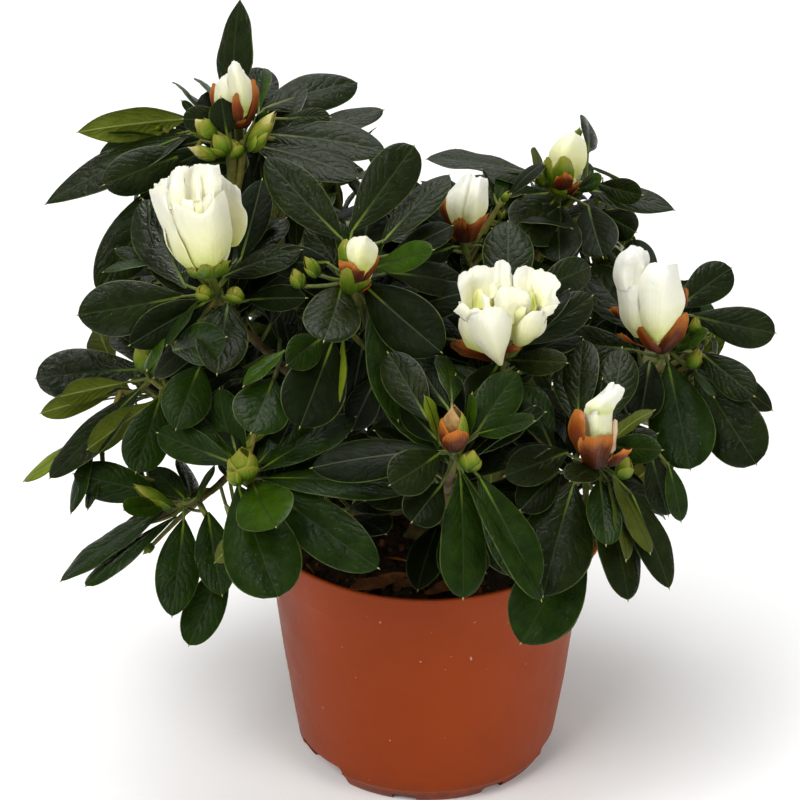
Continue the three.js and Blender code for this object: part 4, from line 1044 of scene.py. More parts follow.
for rows, sl, rip, tone in (
        # the inner wall of the left lobe with the tongue at its right
        ([[(463, 311, 7), (466, 310, 5), (470, 309, 2), (473.5, 308, 0), (477, 308, -1), (481, 308, -1), (485, 307, 0), (488, 306, 2), (491, 305, 4), (495, 304, 5), (499, 304, 4.5), (503, 304, 4.5), (507, 304, 4.5), (511, 305, 4.5), (515, 307, 4.5)],
          [(461.5, 300, 4), (464.5, 296, 2), (468, 293, -0.5), (471.5, 291, -3), (475.5, 290, -4), (480, 289, -4.5), (484.5, 289, -4), (488.5, 289, -2.5), (492, 288, 0), (496, 286, 1.5), (500, 285, 0), (504, 285, -0.5), (508, 287, 0.5), (511, 290, 1), (514, 293, 1.5)],
          [(459, 291, 2), (461.5, 285, 0), (465.5, 281, -2), (470, 278.5, -4), (474.5, 276.5, -5.5), (480, 276, -6), (485, 276.5, -6), (490, 277, -4.5), (494, 275, -2.5), (497, 273, -3), (500.5, 272, -4.5), (504, 272, -4), (508, 275, -2.5), (510.5, 279, -2), (513.5, 284, -1.5)],
          [(457.5, 284, 0), (459, 275.5, -3), (463, 272, -5), (468, 271.5, -6.5), (471.5, 267.5, -8), (477, 265.8, -9), (484, 266, -9), (490, 267.5, -7.5), (493.5, 267, -6), (496.5, 262.5, -6.5), (501, 260, -7.5), (505.5, 261, -7), (509.5, 265, -6), (510, 270.5, -5), (513, 276, -4)]],
         "petal", 0.24, (0.3, 1.0)),
        # the inner wall of the right lobe, which narrows to the throat
        ([[(516, 311, 8), (520, 309, 7), (524, 307, 5), (527, 305, 2), (530, 304, -0.5), (533, 304, -1.5), (536, 304, 0.5), (538.5, 305, 3), (541, 306, 5), (542, 307, 6), (542.5, 308.5, 7), (543, 310, 7.5), (543, 311.5, 8)],
          [(514.5, 298, 5), (518, 295, 3.5), (522, 292, 1.5), (526, 290, -0.5), (530, 289.5, -1.5), (533, 289.5, -2.5), (537, 290, -1.5), (541, 292, 0.5), (544, 295, 2), (546, 298, 3.5), (547.5, 302, 4.5), (548, 305.5, 5.5), (548, 309, 6.5)],
          [(513.5, 286, 1), (516.5, 280.5, -1.5), (521, 278, -3.5), (526.5, 277, -5), (531, 278.5, -5.5), (534.5, 279.5, -5.5), (539, 279, -5.5), (544, 281.5, -4), (549, 284, -2), (552.5, 288, -0.5), (552, 294, 1), (552, 299.5, 2.5), (555, 305, 4)],
          [(513.5, 276, -3), (516, 270.5, -6), (521, 267, -7.5), (527.5, 265.8, -8.5), (533, 269, -8.5), (536.5, 270.8, -8), (540.5, 268.3, -8), (546, 272, -7), (553, 274.5, -5), (557.5, 279, -3), (560.8, 286, -1), (555.5, 293.5, 1), (560, 303, 3)]],
         "petal", 0.24, (0.2, 1.0)),
        ([[(531, 311.5, 7), (533.5, 312.5, 7), (536, 311, 7)], [(530.5, 303, 4), (533.3, 303, 3), (535.8, 303, 4)], [(529.5, 294, 0.5), (531.5, 292, 0), (533.5, 294.5, 0.5)]], "petal_cream", 0.05, (-0.05, 0.2)),
        # its turned out lower edge
        ([[(541, 316, 9), (547, 316, 8), (553, 313, 6)], [(541, 311.5, 9), (548, 310, 8), (555, 309, 6)], [(543, 308, 8.5), (550, 305.5, 7.5), (558.5, 304.5, 5)]], "petal", 0.12, (0.6, 0.95)),
        # the right lobe's front petal and the one in its seam
        ([[(510, 340, 4), (514, 340, 5), (519, 338, 6)], [(510, 326, 6), (516, 325, 8), (522, 323, 9)], [(511, 315, 8), (518, 314, 10), (525, 314, 11)], [(513, 307, 7), (519, 306, 9), (526, 307, 10)]], "petal_cream", 0.12, (0.12, 0.6)),
        ([[(513, 343, 4), (519, 346, 6), (527, 344, 5), (534, 339, 3)], [(513.5, 335, 7), (521, 336, 11), (532, 335, 10), (541, 331, 5)], [(517, 326, 10), (524, 325, 12.5), (535, 324, 12), (544, 322, 6)],
          [(523, 318, 11.5), (529, 316, 12), (538, 315.5, 11), (547, 315, 7)], [(528, 314, 11), (532, 311.5, 10.8), (539, 311, 10), (547, 311, 7)]], "petal", 0.1, (0.15, 0.9)),
        # the swollen middle, whose right edge is the lip of the throat
        ([[(495, 320, 11), (500, 322, 12), (506, 323, 12), (512, 324, 10), (517, 323, 7.5), (521, 321, 7.5), (526, 318, 8), (530, 313, 8.5)], [(494.5, 306, 9), (500, 305, 10.3), (506, 304, 10.6), (512, 303, 9.6), (517, 303, 9), (523, 303, 9), (528, 303, 8.2), (531, 303, 6.8)],
          [(494, 297, 5), (499, 293, 6.2), (505, 291, 6.5), (511, 291, 5.5), (517, 292, 5), (522.5, 293, 5.2), (527.5, 295, 4.8), (530.5, 298, 4)], [(494.5, 293.5, 2.5), (499.5, 288.5, 2.5), (505, 286.5, 2.2), (511, 287, 1.5), (517, 288.5, 1.5), (522, 290, 2), (526.5, 292, 2.2), (529.5, 295.5, 2.4)]], "petal", 0.14, (0.4, 0.9)),
        ([[(489, 299, 5.2), (493, 298, 6), (498, 296, 5.5)], [(489, 291, 3), (493, 290, 4), (498, 290, 3.2)], [(490, 285, 0.5), (494, 282.5, 1.8), (499, 285, 1)]], "petal_cream", 0.2, (0.55, 0.95)),
        ([[(482.5, 312, 10), (487, 312, 11), (491, 311, 10.5)], [(482.5, 303, 7), (486, 302, 8), (490, 303, 7.6)], [(479.5, 291.8, 3.2), (484.5, 295, 5), (489.5, 298.5, 5.8)]], "petal", 0.14, (0.5, 0.95)),
        ([[(472, 308, 0.8), (478, 309, 0.5), (484, 308, 1.5)], [(472.5, 300, -1), (478, 299, -2), (483, 299, -0.5)], [(475, 291.5, -3), (479, 289, -3.6), (483, 291.5, -2.6)]], "petal_cream", 0.05, (0.16, 0.46)),
        ([[(490.5, 309, 6.5), (494, 310, 6), (497, 309, 6.5)], [(490.5, 303, 5.2), (494, 303, 4.6), (497, 303, 5.2)], [(491.5, 299, 5), (494, 298.5, 4.4), (496, 299.5, 5)]], "petal_cream", 0.05, (0.16, 0.4)),
        # the lip of the hollow on the left
        ([[(466, 320, 9), (472, 320, 12), (479, 320, 13.5), (484, 320, 14)], [(467, 314, 7.5), (472, 312, 10), (478, 312, 12), (483, 314, 12.8)], [(469.5, 310.5, 6), (473, 308.5, 8.5), (478, 308.5, 10.5), (482.5, 311.5, 11.8)]], "petal", 0.14, (0.7, 1.0)),
        # the front petal, folded down to a point: its shaded side, then its lit one
        ([[(467, 347, 5), (475, 350, 8), (487, 354, 11)], [(462, 338, 4), (470, 341, 8), (482, 345, 12.5)], [(459, 328, 3), (466, 331, 7), (476, 334, 12)], [(459, 318, 2), (463, 321, 6), (470, 323, 10)]], "petal", 0.1, (0.05, 0.7)),
        ([[(497, 363, 12), (498, 364.2, 12.4), (499, 364.8, 12.8), (500.5, 365.4, 13), (501.5, 365, 12.8), (502.4, 364.2, 12.4), (503, 363, 12)],
          [(484, 353, 12), (488.5, 354.5, 14.2), (493, 355, 16), (497, 355, 16.5), (500, 354.3, 16), (503, 352.5, 14.5), (505.5, 350, 12)],
          [(475, 340, 13), (482, 341, 16), (489.5, 341, 18), (496, 341, 18.3), (501, 340, 17), (505.5, 339.3, 15), (510, 338, 12)],
          [(470, 328, 12), (477.5, 328, 15.4), (486, 328, 17.8), (494, 328, 18.1), (500.5, 328, 16.8), (506.5, 327.5, 14.6), (512, 327, 11.5)],
          [(467.5, 319, 9.5), (474, 317.5, 13.3), (482.5, 317, 15.4), (491, 316.5, 16.2), (498.5, 316.5, 15.6), (505, 317.5, 14), (512, 320, 11)],
          [(470, 314, 7.5), (476, 312, 11.5), (483.5, 310, 13.3), (491, 307, 13.8), (498, 307, 13.5), (504.5, 310, 12.5), (510, 316, 10.5)]], "petal", 0.16, (0.35, 1.0)),
        # the floor of the hollow behind it
        ([[(472, 331, 11), (480, 332, 13.5), (489, 332.5, 14), (498, 332, 13.5), (505, 331, 11)], [(470, 327, 7), (480, 328, 7.4), (489, 328, 7.6), (498, 328, 7.4), (506, 327, 7)],
          [(473, 322, 2), (481, 321, 1), (489, 321, 0.5), (497, 321, 1), (505, 322, 2)]], "petal_cream", 0.2, (0.2, 0.7)),
        # its left edge, turned out to a small point
        ([[(467.5, 321, 9), (469.5, 317, 10), (471, 312, 10)], [(460, 315.5, 6.5), (463.5, 311, 8), (467, 306, 8)], [(453, 311.5, 4.5), (456.5, 308, 5.5), (461.5, 302, 4.5)]], "petal", 0.1, (0.6, 1.0))):
    patch(blooms, -53, rows, sl, rng, rip, (16, 24 if len(rows[0]) < 8 else 48), tone=tone)
for rows in ([[(492, 362, 2), (494, 358, 4), (496, 352, 5)], [(479, 359, 1), (481, 353, 4), (483, 346, 5)], [(464, 356, 0), (465, 349, 3), (467, 340, 4)], [(450, 346, -3), (451, 343, -1.5), (453, 340, -1)]],
             [[(498, 357, 3), (500, 353, 4), (501, 347, 5)], [(509, 353, 3.5), (511, 350, 5), (512, 345, 5)], [(519, 350.5, 3), (520.5, 348, 4), (521.5, 345, 4)]]):
    patch(scales, -53, rows, "scale_rust", rng, 0.2, (12, 10), 0.4)
# F3: a tall smooth petal that folds round the rest
C = at_y(658, 345, -16)
A = unit([-0.06, -0.02, 1.0])
for phi, half, H, R, foot, top, sl in ((10, 60, 22.5, 7.4, 0.34, 0.92, "petal"), (75, 60, 23.5, 9.0, 0.34, 0.92, "petal"), (140, 60, 23.0, 9.2, 0.34, 0.92, "petal"), (-150, 50, 21.0, 8.6, 0.34, 0.9, "petal"),
                                       (-90, 60, 20.5, 6.6, 0.4, 0.8, "petal"), (20, 65, 21.5, 6.6, 0.4, 0.8, "petal"), (130, 65, 22.0, 6.6, 0.4, 0.8, "petal"),
                                       (-60, 70, 21.0, 3.8, 0.5, 0.8, "petal_cream"), (60, 80, 21.5, 3.8, 0.5, 0.8, "petal_cream"), (180, 80, 21.5, 3.8, 0.5, 0.8, "petal"),
                                       (-20, 100, 19.5, 2.0, 0.6, 0.5, "petal_cream"), (160, 100, 19.0, 1.6, 0.6, 0.4, "petal_cream")):
    petal(blooms_inner, C, A, phi, half, H, tulip(R, foot, top), sl, rng, 0.4, 0.0, 0.12, 0.1, 8, (14, 20), 0.4)
bloom_stem(C, A, "foliage_right", rng)
# these petals take the whiter petal copy, painted light
for rows, sl, rip in (
        # the back, then the round head on the left with its small swirl
        ([[(644, 292, -3), (655, 292, -5), (666, 292, -5), (677, 290, -2)], [(645, 276, -4), (655, 276, -6), (666, 276, -6), (676, 276, -3)], [(648, 264, -4), (656, 263.5, -5), (666, 265.5, -5), (675, 265, -3)]], "petal_light", 0.15),
        ([[(617, 290, 3), (621, 290.5, 6.5), (626, 291, 8.2), (631, 291, 8.4), (636, 290.5, 9), (641, 290, 9), (646, 289, 8.4)], [(613.8, 279, 2.5), (618.5, 279, 7.3), (624, 279.5, 9), (630, 279.5, 8), (636, 279, 7.4), (641.5, 278.5, 8), (647, 277, 7.8)],
          [(613.5, 270, 1.5), (618, 269.5, 6.8), (624, 269, 8.8), (630, 269.5, 7.8), (636, 270, 6.8), (642, 269.5, 7.2), (648, 268, 6)], [(615.5, 261.5, 0.5), (620, 260, 6), (626, 258.5, 8.8), (632, 258.5, 9), (638, 259.5, 7.8), (643.5, 260.5, 6.5), (649.5, 260, 3)],
          [(619, 256, -2), (623.5, 252, 3), (629, 249.5, 5.5), (634.5, 248.8, 6), (639.5, 250.5, 5), (644, 252, 3.5), (648.5, 253, 0)], [(622, 252.5, -5), (626, 249, -3), (631, 246.3, -2), (635.5, 245.8, -2), (640, 247.3, -2.5), (643.5, 249.5, -3), (647.5, 250.5, -4)]], "petal_light", 0.22),
        # left column
        ([[(634, 337, 3), (640, 337, 6), (646, 333, 8)], [(622, 321, 4), (631, 322, 9), (641, 321, 10.5)], [(618.5, 304, 3), (628, 305, 9), (640, 304, 11.5)], [(617, 292, 2), (627, 293, 8.5), (640, 291, 10.5)],
          [(617, 287, 1), (627, 286.5, 7.5), (640, 285, 9.8)]], "petal_light", 0.14),
        # the tall main petal
        ([[(649, 338, 5), (654, 341, 8), (660, 341, 8), (666, 337, 5)], [(641, 322, 9.5), (651, 327, 13), (665, 327, 13), (679.5, 318, 5.5)], [(637.5, 305, 11), (650, 308, 14), (668, 308, 14), (685, 302, 4)],
          [(638.5, 289, 10.5), (651, 289, 13.2), (668, 289, 13.2), (682, 287, 3.5)], [(641.5, 276, 9), (652.5, 274.5, 11.6), (668, 275, 11.4), (679.5, 275, 2.5)], [(646, 266.5, 6.5), (654, 262.5, 8.4), (667, 264.5, 8), (677, 263, 1)]], "petal_light", 0.12)):
    patch(blooms, -18, rows, sl, rng, rip, (18, 26), tone=WHOLE if rows[0][0][1] > 325 else (0.55, 1.0))
for rows, sl in (
        ([[(654, 352, 7), (663, 354, 8), (672, 349, 5)], [(660, 343, 9), (671, 343, 10), (683, 338, 4)], [(667, 332, 9), (677, 329, 8), (689, 322, 3)], [(674, 321, 7), (680, 316, 6), (687, 312, 3)]], "scale_brown"),
        ([[(648, 350, 7), (656, 352, 9), (664, 351, 8)], [(641, 341, 8), (648, 342, 10.5), (655, 343, 10.5)], [(635.5, 330, 7.5), (641, 330, 9.8), (646, 333, 10.4)], [(634, 321, 6), (636.5, 318.5, 7.5), (640.5, 321, 9)]], "scale_rust"),
        ([[(636, 344, 3), (641, 346, 4), (646, 347, 4)], [(624, 341, 3), (630, 341, 5), (637, 344, 5)], [(616, 334, 2), (622, 334, 4), (628, 339, 4)]], "scale_rust"),
        ([[(618, 318, 0), (620, 319, 1), (622, 321, 2)], [(613, 314, 0), (616, 313, 1), (619, 314, 2)], [(609, 310, -1), (613, 307, 0), (618, 307, 1)]], "scale_brown"),
        ([[(682, 306, 0), (684, 307, 1), (687, 306, 0)], [(682, 299, 0), (685, 299, 1), (688, 299, 0)], [(683, 290, -1), (685, 288, 0), (688.5, 290, -1)]], "scale_rust")):
    patch(scales, -18, rows, sl, rng, 0.3, (12, 12), 0.4)

# buds that show colour: base x, y, depth, tip x, y, half width in mm, the slot, how much the scales cover
for px, py, y, tx, ty, rm, sl, cover, kinds, shoot, count in (
        (238, 122, 2, 236, 68, 5.4, "petal", 0.34, ("scale_brown", "scale_rust", "scale_rust"), "foliage_top_left", 5),
        (354, 286, -48, 362, 244, 4.9, "petal_cream", 0.30, ("scale_brown", "scale_rust", "scale_green"), "foliage_centre", 5),
        (463, 236, 4, 473, 181, 5.6, "petal", 0.26, ("scale_brown", "scale_rust"), "foliage_inner", 5),
        (561, 190, 28, 573, 139, 5.4, "petal_cream", 0.30, ("scale_green", "scale_brown", "scale_green"), "foliage_upper_right", 5),
        (595, 462, -74, 603, 402, 4.6, "petal", 0.42, ("scale_rust", "scale_brown", "scale_rust"), "foliage_front_right", 6),
        (454, 450, -90, 453, 404, 4.1, "scale_pink", 0.7, ("scale_brown", "scale_brown", "scale_green"), "foliage_front", 7),
        (245, 479, -80, 240, 447, 4.4, "scale_green", 0.7, ("scale_green", "scale_green"), "foliage_front_left", 6)):
    C = at_y(px, py, y)
    zc = depth(C)
    T = at_depth(tx, ty, zc - (ty - py) * -0.03 * 2)
    A = unit(T - C)
    A = unit(A + FWD * -0.12 + np.array([0, 0, 0.12]))
    H = np.linalg.norm(T - C) * 1.03
    if sl.startswith("petal"):
        bud(C, A, H, rm, rng, sl, 5, count, cover, kinds, 0.42)
    else:
        body = ovoid(rm * 0.94, 0.08, 0.88)
        for k, (turn, f, wide) in enumerate(((-110, 1.0, 98), (75, 0.98, 98), (-20, 0.86, 74), (-165, 0.74, 76), (-75, 0.56, 80), (100, 0.62, 80))):
            petal(scales, C, A, turn, wide, H * f, lambda v, f=f, k=k: body(v * f) + 0.16 * k, sl if k < 2 else kinds[k % len(kinds)], rng,
                  0.0, 0.0, 0.05, n=(14, 12), th=0.28, pointed=True)
    bloom_stem(C, A, shoot, rng, 1.2)

for y, bag, rows, sl, rip in (
        # B1
        (4, blooms, [[(216, 108, 4), (224, 112, 6), (236, 114, 6)], [(214, 98, 4), (222, 99, 7), (236, 101, 7)], [(216, 86, 2), (223, 84, 5), (234, 88, 6)], [(222, 77, 0), (227, 74, 2), (232, 78, 3)]], "petal", 0.2),
        (4, blooms, [[(234, 116, 6), (243, 117, 7), (250, 112, 4)], [(232, 100, 8), (244, 101, 9), (254, 99, 3)], [(229, 84, 6), (240, 83, 8), (252, 84, 2)], [(228, 70, 3), (236, 69, 5), (245, 73, 1)], [(230, 64, 0), (235, 61, 1), (240, 65, 0)]], "petal", 0.2),
        (4, scales, [[(240, 126, 4), (247, 124, 6), (253, 118, 3)], [(246, 114, 5), (252, 110, 6), (258, 104, 2)], [(250, 98, 4), (255, 95, 4), (259, 92, 1)], [(250, 82, 1), (253, 79, 2), (256, 82, 0)]], "scale_rust", 0.2),
        (4, scales, [[(234, 120, 8), (239, 121, 9), (243, 119, 8)], [(232, 107, 9), (238, 107, 10), (244, 107, 8)], [(233, 96, 9), (236.5, 93, 10), (241.5, 97, 8)]], "scale_rust", 0.2),
        (4, scales, [[(214, 112, 3), (218, 114, 4), (222, 112, 5)], [(210, 98, 2), (213, 97, 3), (216, 98, 4)], [(211, 86, 0), (214, 83, 1), (217, 86, 2)]], "scale_rust", 0.2),
        # B2, leaning to the right
        (-50, blooms, [[(352, 272, 7), (360, 275, 9), (369, 271, 7)], [(345, 260, 8), (359, 259, 12), (376, 260, 6)], [(345, 247, 6), (360, 245, 10), (378, 250, 3)], [(351, 239, 2), (363, 236, 4), (375, 242, 1)]], "petal_cream", 0.2),
        (-50, scales, [[(344, 274, 6), (350, 278, 8), (358, 279, 8)], [(339, 262, 5), (346, 264, 9), (354, 268, 10)], [(338, 250, 3), (343, 248, 7), (349, 254, 8)], [(342, 242, 0), (346, 239, 3), (350, 244, 4)]], "scale_green", 0.2),
        (-50, scales, [[(342, 279, 7), (352, 283, 9), (362, 281, 8)], [(339, 268, 8), (352, 272, 11), (365, 272, 9)], [(339, 260, 8), (350, 263, 11), (362, 267, 10)]], "scale_brown", 0.35),
        (-50, scales, [[(341, 290, 5), (349, 294, 7), (357, 291, 6)], [(340, 279, 7), (349, 281, 10), (357, 281, 9)], [(342, 270, 9), (348, 268, 12), (354, 272, 11)]], "scale_green", 0.25),
        (-50, scales, [[(360, 282, 7), (366, 280, 8), (371, 276, 5)], [(367, 272, 7), (373, 268, 7), (378, 264, 3)], [(371, 260, 5), (376, 256, 4), (379, 255, 2)]], "scale_rust", 0.25),
        # B3, in the whiter petal copy: painted light on a bud in shade
        (5, blooms, [[(450, 222, 5), (458, 226, 7), (466, 225, 7)], [(445, 210, 5), (456, 211, 9), (468, 212, 9)], [(445, 198, 3), (458, 197, 8), (470, 198, 8)], [(455, 185, 1), (464, 184, 5), (472, 186, 5)], [(464, 176, -1), (469, 172, 1), (474, 176, 1)]], "petal_light", 0.2),
        (5, blooms, [[(463, 226, 8), (472, 227, 9), (480, 222, 6)], [(464, 211, 10), (476, 212, 10), (487, 210, 3)], [(468, 197, 9), (478, 197, 9), (488, 197, 2)], [(471, 184, 6), (479, 184, 6), (488, 185, 1)], [(474, 178, 2), (481, 177, 2), (487, 179, 0)]], "petal_light", 0.2),
        (5, scales, [[(462, 240, 6), (470, 240, 8), (477, 235, 5)], [(463, 228, 9), (474, 228, 10), (484, 222, 4)], [(470, 219, 9), (480, 218, 7), (488, 213, 2)]], "scale_rust", 0.35),
        (5, scales, [[(455, 236, 6), (462, 240, 8), (468, 239, 8)], [(452, 226, 7), (459, 229, 9), (466, 229, 10)], [(456, 217, 8), (461, 218, 10), (466, 221, 10)]], "scale_brown", 0.35),
        (5, scales, [[(446, 224, 4), (450, 228, 5), (455, 230, 6)], [(439, 208, 3), (443, 209, 5), (447, 212, 6)], [(438, 196, 1), (442, 193, 3), (446, 198, 4)]], "scale_brown", 0.3),
        # B4
        (30, blooms, [[(553, 178, 5), (562, 182, 8), (576, 178, 6)], [(548, 166, 5), (562, 166, 10), (585, 166, 4)], [(550, 151, 4), (565, 150, 9), (587, 151, 2)], [(558, 140, 1), (570, 138, 5), (585, 141, 0)], [(565, 135, -2), (572, 132, 0), (579, 135, -2)]], "petal_cream", 0.15),
        (30, scales, [[(552, 182, 7), (562, 186, 9), (573, 182, 8)], [(553, 170, 9), (563, 171, 12), (574, 170, 9)], [(557, 160, 9), (564, 156, 11), (571, 161, 9)]], "scale_green", 0.2),
        (30, scales, [[(546, 184, 3), (551, 187, 5), (556, 188, 6)], [(541, 172, 3), (547, 173, 6), (553, 175, 8)], [(544, 160, 2), (548, 157, 5), (553, 162, 7)]], "scale_green", 0.25),
        (30, scales, [[(553, 188, 8), (562, 190, 9), (572, 187, 8)], [(555, 180, 10), (564, 180, 12), (573, 179, 10)], [(559, 174, 10), (565, 172, 12), (570, 175, 10)]], "scale_brown", 0.3),
        # B5: a narrow tube whose lip leans to the right, in the whiter petal copy as painted light
        (-76, blooms, [[(586, 445, 5), (597, 449, 8), (610, 444, 5)], [(584, 430, 5), (597, 431, 10), (612, 429, 4)], [(584, 415, 4), (597, 414, 9), (612, 414, 3)], [(586, 407, 2), (600, 404, 6), (615, 403, 1)], [(596, 397, -1), (606, 393, 2), (621, 395, -1)], [(606, 389, -4), (613, 385, -2), (623, 388, -4)]], "petal_light", 0.35),
        (-76, blooms, [[(586, 414, 6), (598, 415, 9), (611, 414, 5)], [(586, 405, 4), (600, 404, 7), (616, 405, 3)], [(596, 396, 0), (608, 394, 3), (621, 399, 1)], [(607, 387, -4), (615, 383, -2), (625, 391, -2)]], "petal_light", 0.55),
        (-76, scales, [[(577, 452, 4), (584, 458, 7), (592, 462, 9)], [(569, 436, 3), (577, 438, 8), (585, 442, 11)], [(569, 421, 2), (576, 420, 7), (585, 423, 10)], [(573, 412, 0), (578, 409, 4), (584, 413, 6)]], "scale_rust", 0.25),
        (-76, scales, [[(585, 464, 7), (595, 469, 9), (606, 465, 6)], [(578, 448, 9), (595, 451, 13), (612, 447, 6)], [(580, 437, 10), (597, 437, 13), (613, 434, 5)]], "scale_brown", 0.45),
        (-76, scales, [[(607, 452, 4), (611, 453, 5), (615, 450, 3)], [(610, 436, 4), (614, 436, 4), (617, 434, 2)], [(612, 422, 3), (615, 419, 3), (617, 421, 2)]], "scale_pale", 0.2),
        (-78, scales, [[(606, 464, 6), (614, 466, 7), (620, 462, 5)], [(614, 456, 6), (622, 458, 7), (628, 455, 4)], [(622, 449, 4), (628, 450, 5), (632, 449, 3)]], "scale_brown", 0.4)):
    patch(bag, y, rows, sl, rng, rip, (14, 12) if bag is scales else (18, 16), 0.35)

# green resting buds between them
for px, py, y, tx, ty, r, shoot, *kind in ((214, 137, -4, 190, 114, 3.0, 0, "scale_tan"), (227, 154, -7, 213, 134, 3.3, 0), (239, 157, -5, 229, 139, 2.7, 0), (216, 157, -8, 187, 147, 1.9, 0, "scale_tan"),
                             (249, 147, -4, 276, 111, 2.8, 0, "scale_tan"), (251, 151, -6, 268, 131, 1.9, 0), (210, 134, 4, 186, 124, 2.4, 0), (318, 276, -48, 304, 256, 2.0, 1), (300, 288, -46, 294, 268, 2.2, 1),
                             (146, 372, -14, 140, 340, 3.2, 2), (158, 374, -12, 152, 345, 2.6, 2), (172, 508, -32, 132, 484, 2.3, 3),
                             (690, 368, -16, 700, 348, 2.3, 4), (694, 336, -14, 696, 316, 1.9, 4), (205, 300, -48, 203, 286, 2.6, 5), (234, 302, -48, 236, 288, 2.8, 5),
                             (468, 470, -92, 474, 450, 3.2, 6), (622, 478, -80, 628, 456, 2.6, 7), (240, 484, -84, 226, 470, 1.9, 8), (545, 186, 26, 540, 168, 2.4, 9)):
    C = at_y(px, py, y)
    T = at_depth(tx, ty, depth(C) - 1.5)
    leaf_bud(C, T - C, max(5.0, np.linalg.norm(T - C)), r, rng, *kind)
    name = ("foliage_top_left", "foliage_centre", "foliage_left", "foliage_lower_left", "foliage_right", "foliage_upper_left", "foliage_front",
            "foliage_front_right", "foliage_front_left", "foliage_upper_right")[shoot]
    nd = limb[name][int(len(limb[name]) * 0.8):]
    J = nd[int(np.linalg.norm(nd - C, axis=1).argmin())]
    tube(twigs, curve([J, (J + C) / 2 - [0, 0, 0.5], C + unit(T - C) * 0.5], 4), 0.6, "petiole", 7)

# the stems that this group stands on
for x0, y0, x1, y1, th in ((230, 206, 231, 150, 1.6), (234, 203, 243, 142, 1.25)):
    a, b = at_y(x0, y0, 0), at_y(x1, y1, -1)
    tube(twigs, curve([a, (a + b) / 2 + [0.5, 0, 0], b], 7), th, "twig", 8)

# the side away from the viewer carries its share
for name, kind in (("foliage_back_left", "bud"), ("foliage_back_centre_left", "bloom"), ("foliage_back_right", "bud"), ("foliage_back_centre_right", "bud"),
                   ("foliage_side_left", "bud"), ("foliage_side_right", "bloom"), ("foliage_low_back_right", "bud")):
    rng = np.random.default_rng(len(name) * 131 + ord(name[-1]))
    line = limb[name]
    A = unit(unit(line[-1] - line[-4]) * 0.4 + np.array([0, 0, 1.0]))
    C = ends[name] + A * 2.5
    if kind == "bloom":
        C = C - A * 3 + np.array(FAR_BLOOMS[name], float)
        low = np.concatenate([np.asarray(l, float) for l in limb.values()])
        J = low[int((np.linalg.norm(low - C, axis=1) + 1.5 * np.maximum(0, low[:, 2] - C[2] + 4)).argmin())]
        stem = curve([J, (J + C) / 2 - A * 3, C - A * 0.2], 8)
        tube(twigs, stem, np.linspace(1.5, 1.15, len(stem)), "petiole", 9)
        for k in range(5):
            petal(scales, C - A * 0.6, A, -150 + k * 72, 46, 7.0, lambda v: tulip(12.6, 0.34, 1.0, 0.7)(v * 0.25) + 0.75, "scale_green", rng, n=(8, 6), th=0.3, pointed=True)
        for ring, (R, H, num, wd) in enumerate(((12.6, 27, 5, 50), (9.8, 27, 4, 55), (7.0, 27, 3, 66), (4.4, 26.5, 3, 72), (2.2, 26, 2, 95))):
            for k in range(num):
                petal(blooms_back, C, A, ring * 37 + k * 360 / num, wd, H * rng.uniform(0.94, 1.05), tulip(R, 0.34, 1.0, 0.7), "petal_cream" if ring > 2 else "petal", rng,
                      0.7, 0.2 * (k % 2), 0.12, 0.5 if ring == 0 else 0.1, 5, (13, 18), 0.4)
    else:
        bud(C, A, rng.uniform(16, 20), rng.uniform(5.6, 6.8), rng, "petal", 5, 8, rng.uniform(0.42, 0.58))

# ------------------------------------------------------------------ pot, peat and what lies on it
POT = dict(rim=52.5, wall_foot=41.9, foot=37.8, foot_h=4.6, h=83.7, collar=13.5, step=0.35, bulge=5.0)


def wall_r(z):
    return (POT["wall_foot"] + (52.15 - POT["wall_foot"]) * (z - POT["foot_h"]) / (POT["h"] - POT["foot_h"])
            + 0.55 * np.sin(math.pi * np.clip((z - POT["foot_h"]) / 64.0, 0.0, 1.0)))


def skin_r(z):
    """Radius of the outside; the foot rounds in under the wall."""
    foot = np.interp(z, (0, 0.25, 0.7, 1.5, 3.0, 4.2, 5.2, 6.0), (37.8, 38.2, 38.6, 39.2, 40.1, 40.8, 41.45, 42.0))
    return np.where(z < 6.0, foot, wall_r(z) + 0.035 * np.sin(z * 1.3))


def bulged(phi_deg, z):
    t = np.clip((z - 68.7) / 15.0, 0, 1)
    up = t * t * (3 - 2 * t)
    d = (phi_deg + 23.0 + 180) % 360 - 180
    return 1 + POT["bulge"] * up * np.exp(-(d / 15.0) ** 2) / POT["rim"]


# openings in the foot: direction, width and height; four are wide and tall, four low
OPENINGS = ((-146.5, 22.8, 8.4), (-101, 8.2, 3.0), (-57, 8.6, 3.2), (-12, 22.8, 8.4),
            (33.5, 22.8, 8.4), (79, 8.2, 3.0), (123, 8.6, 3.2), (168, 22.8, 8.4))
# columns: evenly round, with more at the edges of the openings
cols = set(np.round(np.arange(0, 360, 2.5), 3))
for mid, width, tall in OPENINGS:
    half = math.degrees(width / 2 / 41.0)
    for e in (-half, half):
        for d in (-0.55, -0.05, 0.05, 0.6, 1.2, 2.2):
            cols.add(round((mid + (e + d if e < 0 else e - d)) % 360, 3))
phi = np.array(sorted(cols))


def foot_edge(phi_deg):
    """Height of the foot's lower edge: the openings have rounded corners."""
    out = np.zeros(len(phi_deg))
    for mid, width, tall in OPENINGS:
        d = (phi_deg - mid + 180) % 360 - 180
        x = np.abs(np.radians(d) * 41.0)
        half, r = width / 2, min(1.8, tall * 0.45)
        z = np.where(x < half - r, tall, tall - r + np.sqrt(np.clip(r * r - (x - half + r) ** 2, 0, None)))
        out = np.maximum(out, np.where(x < half - 0.01, z, 0.0))
    return out


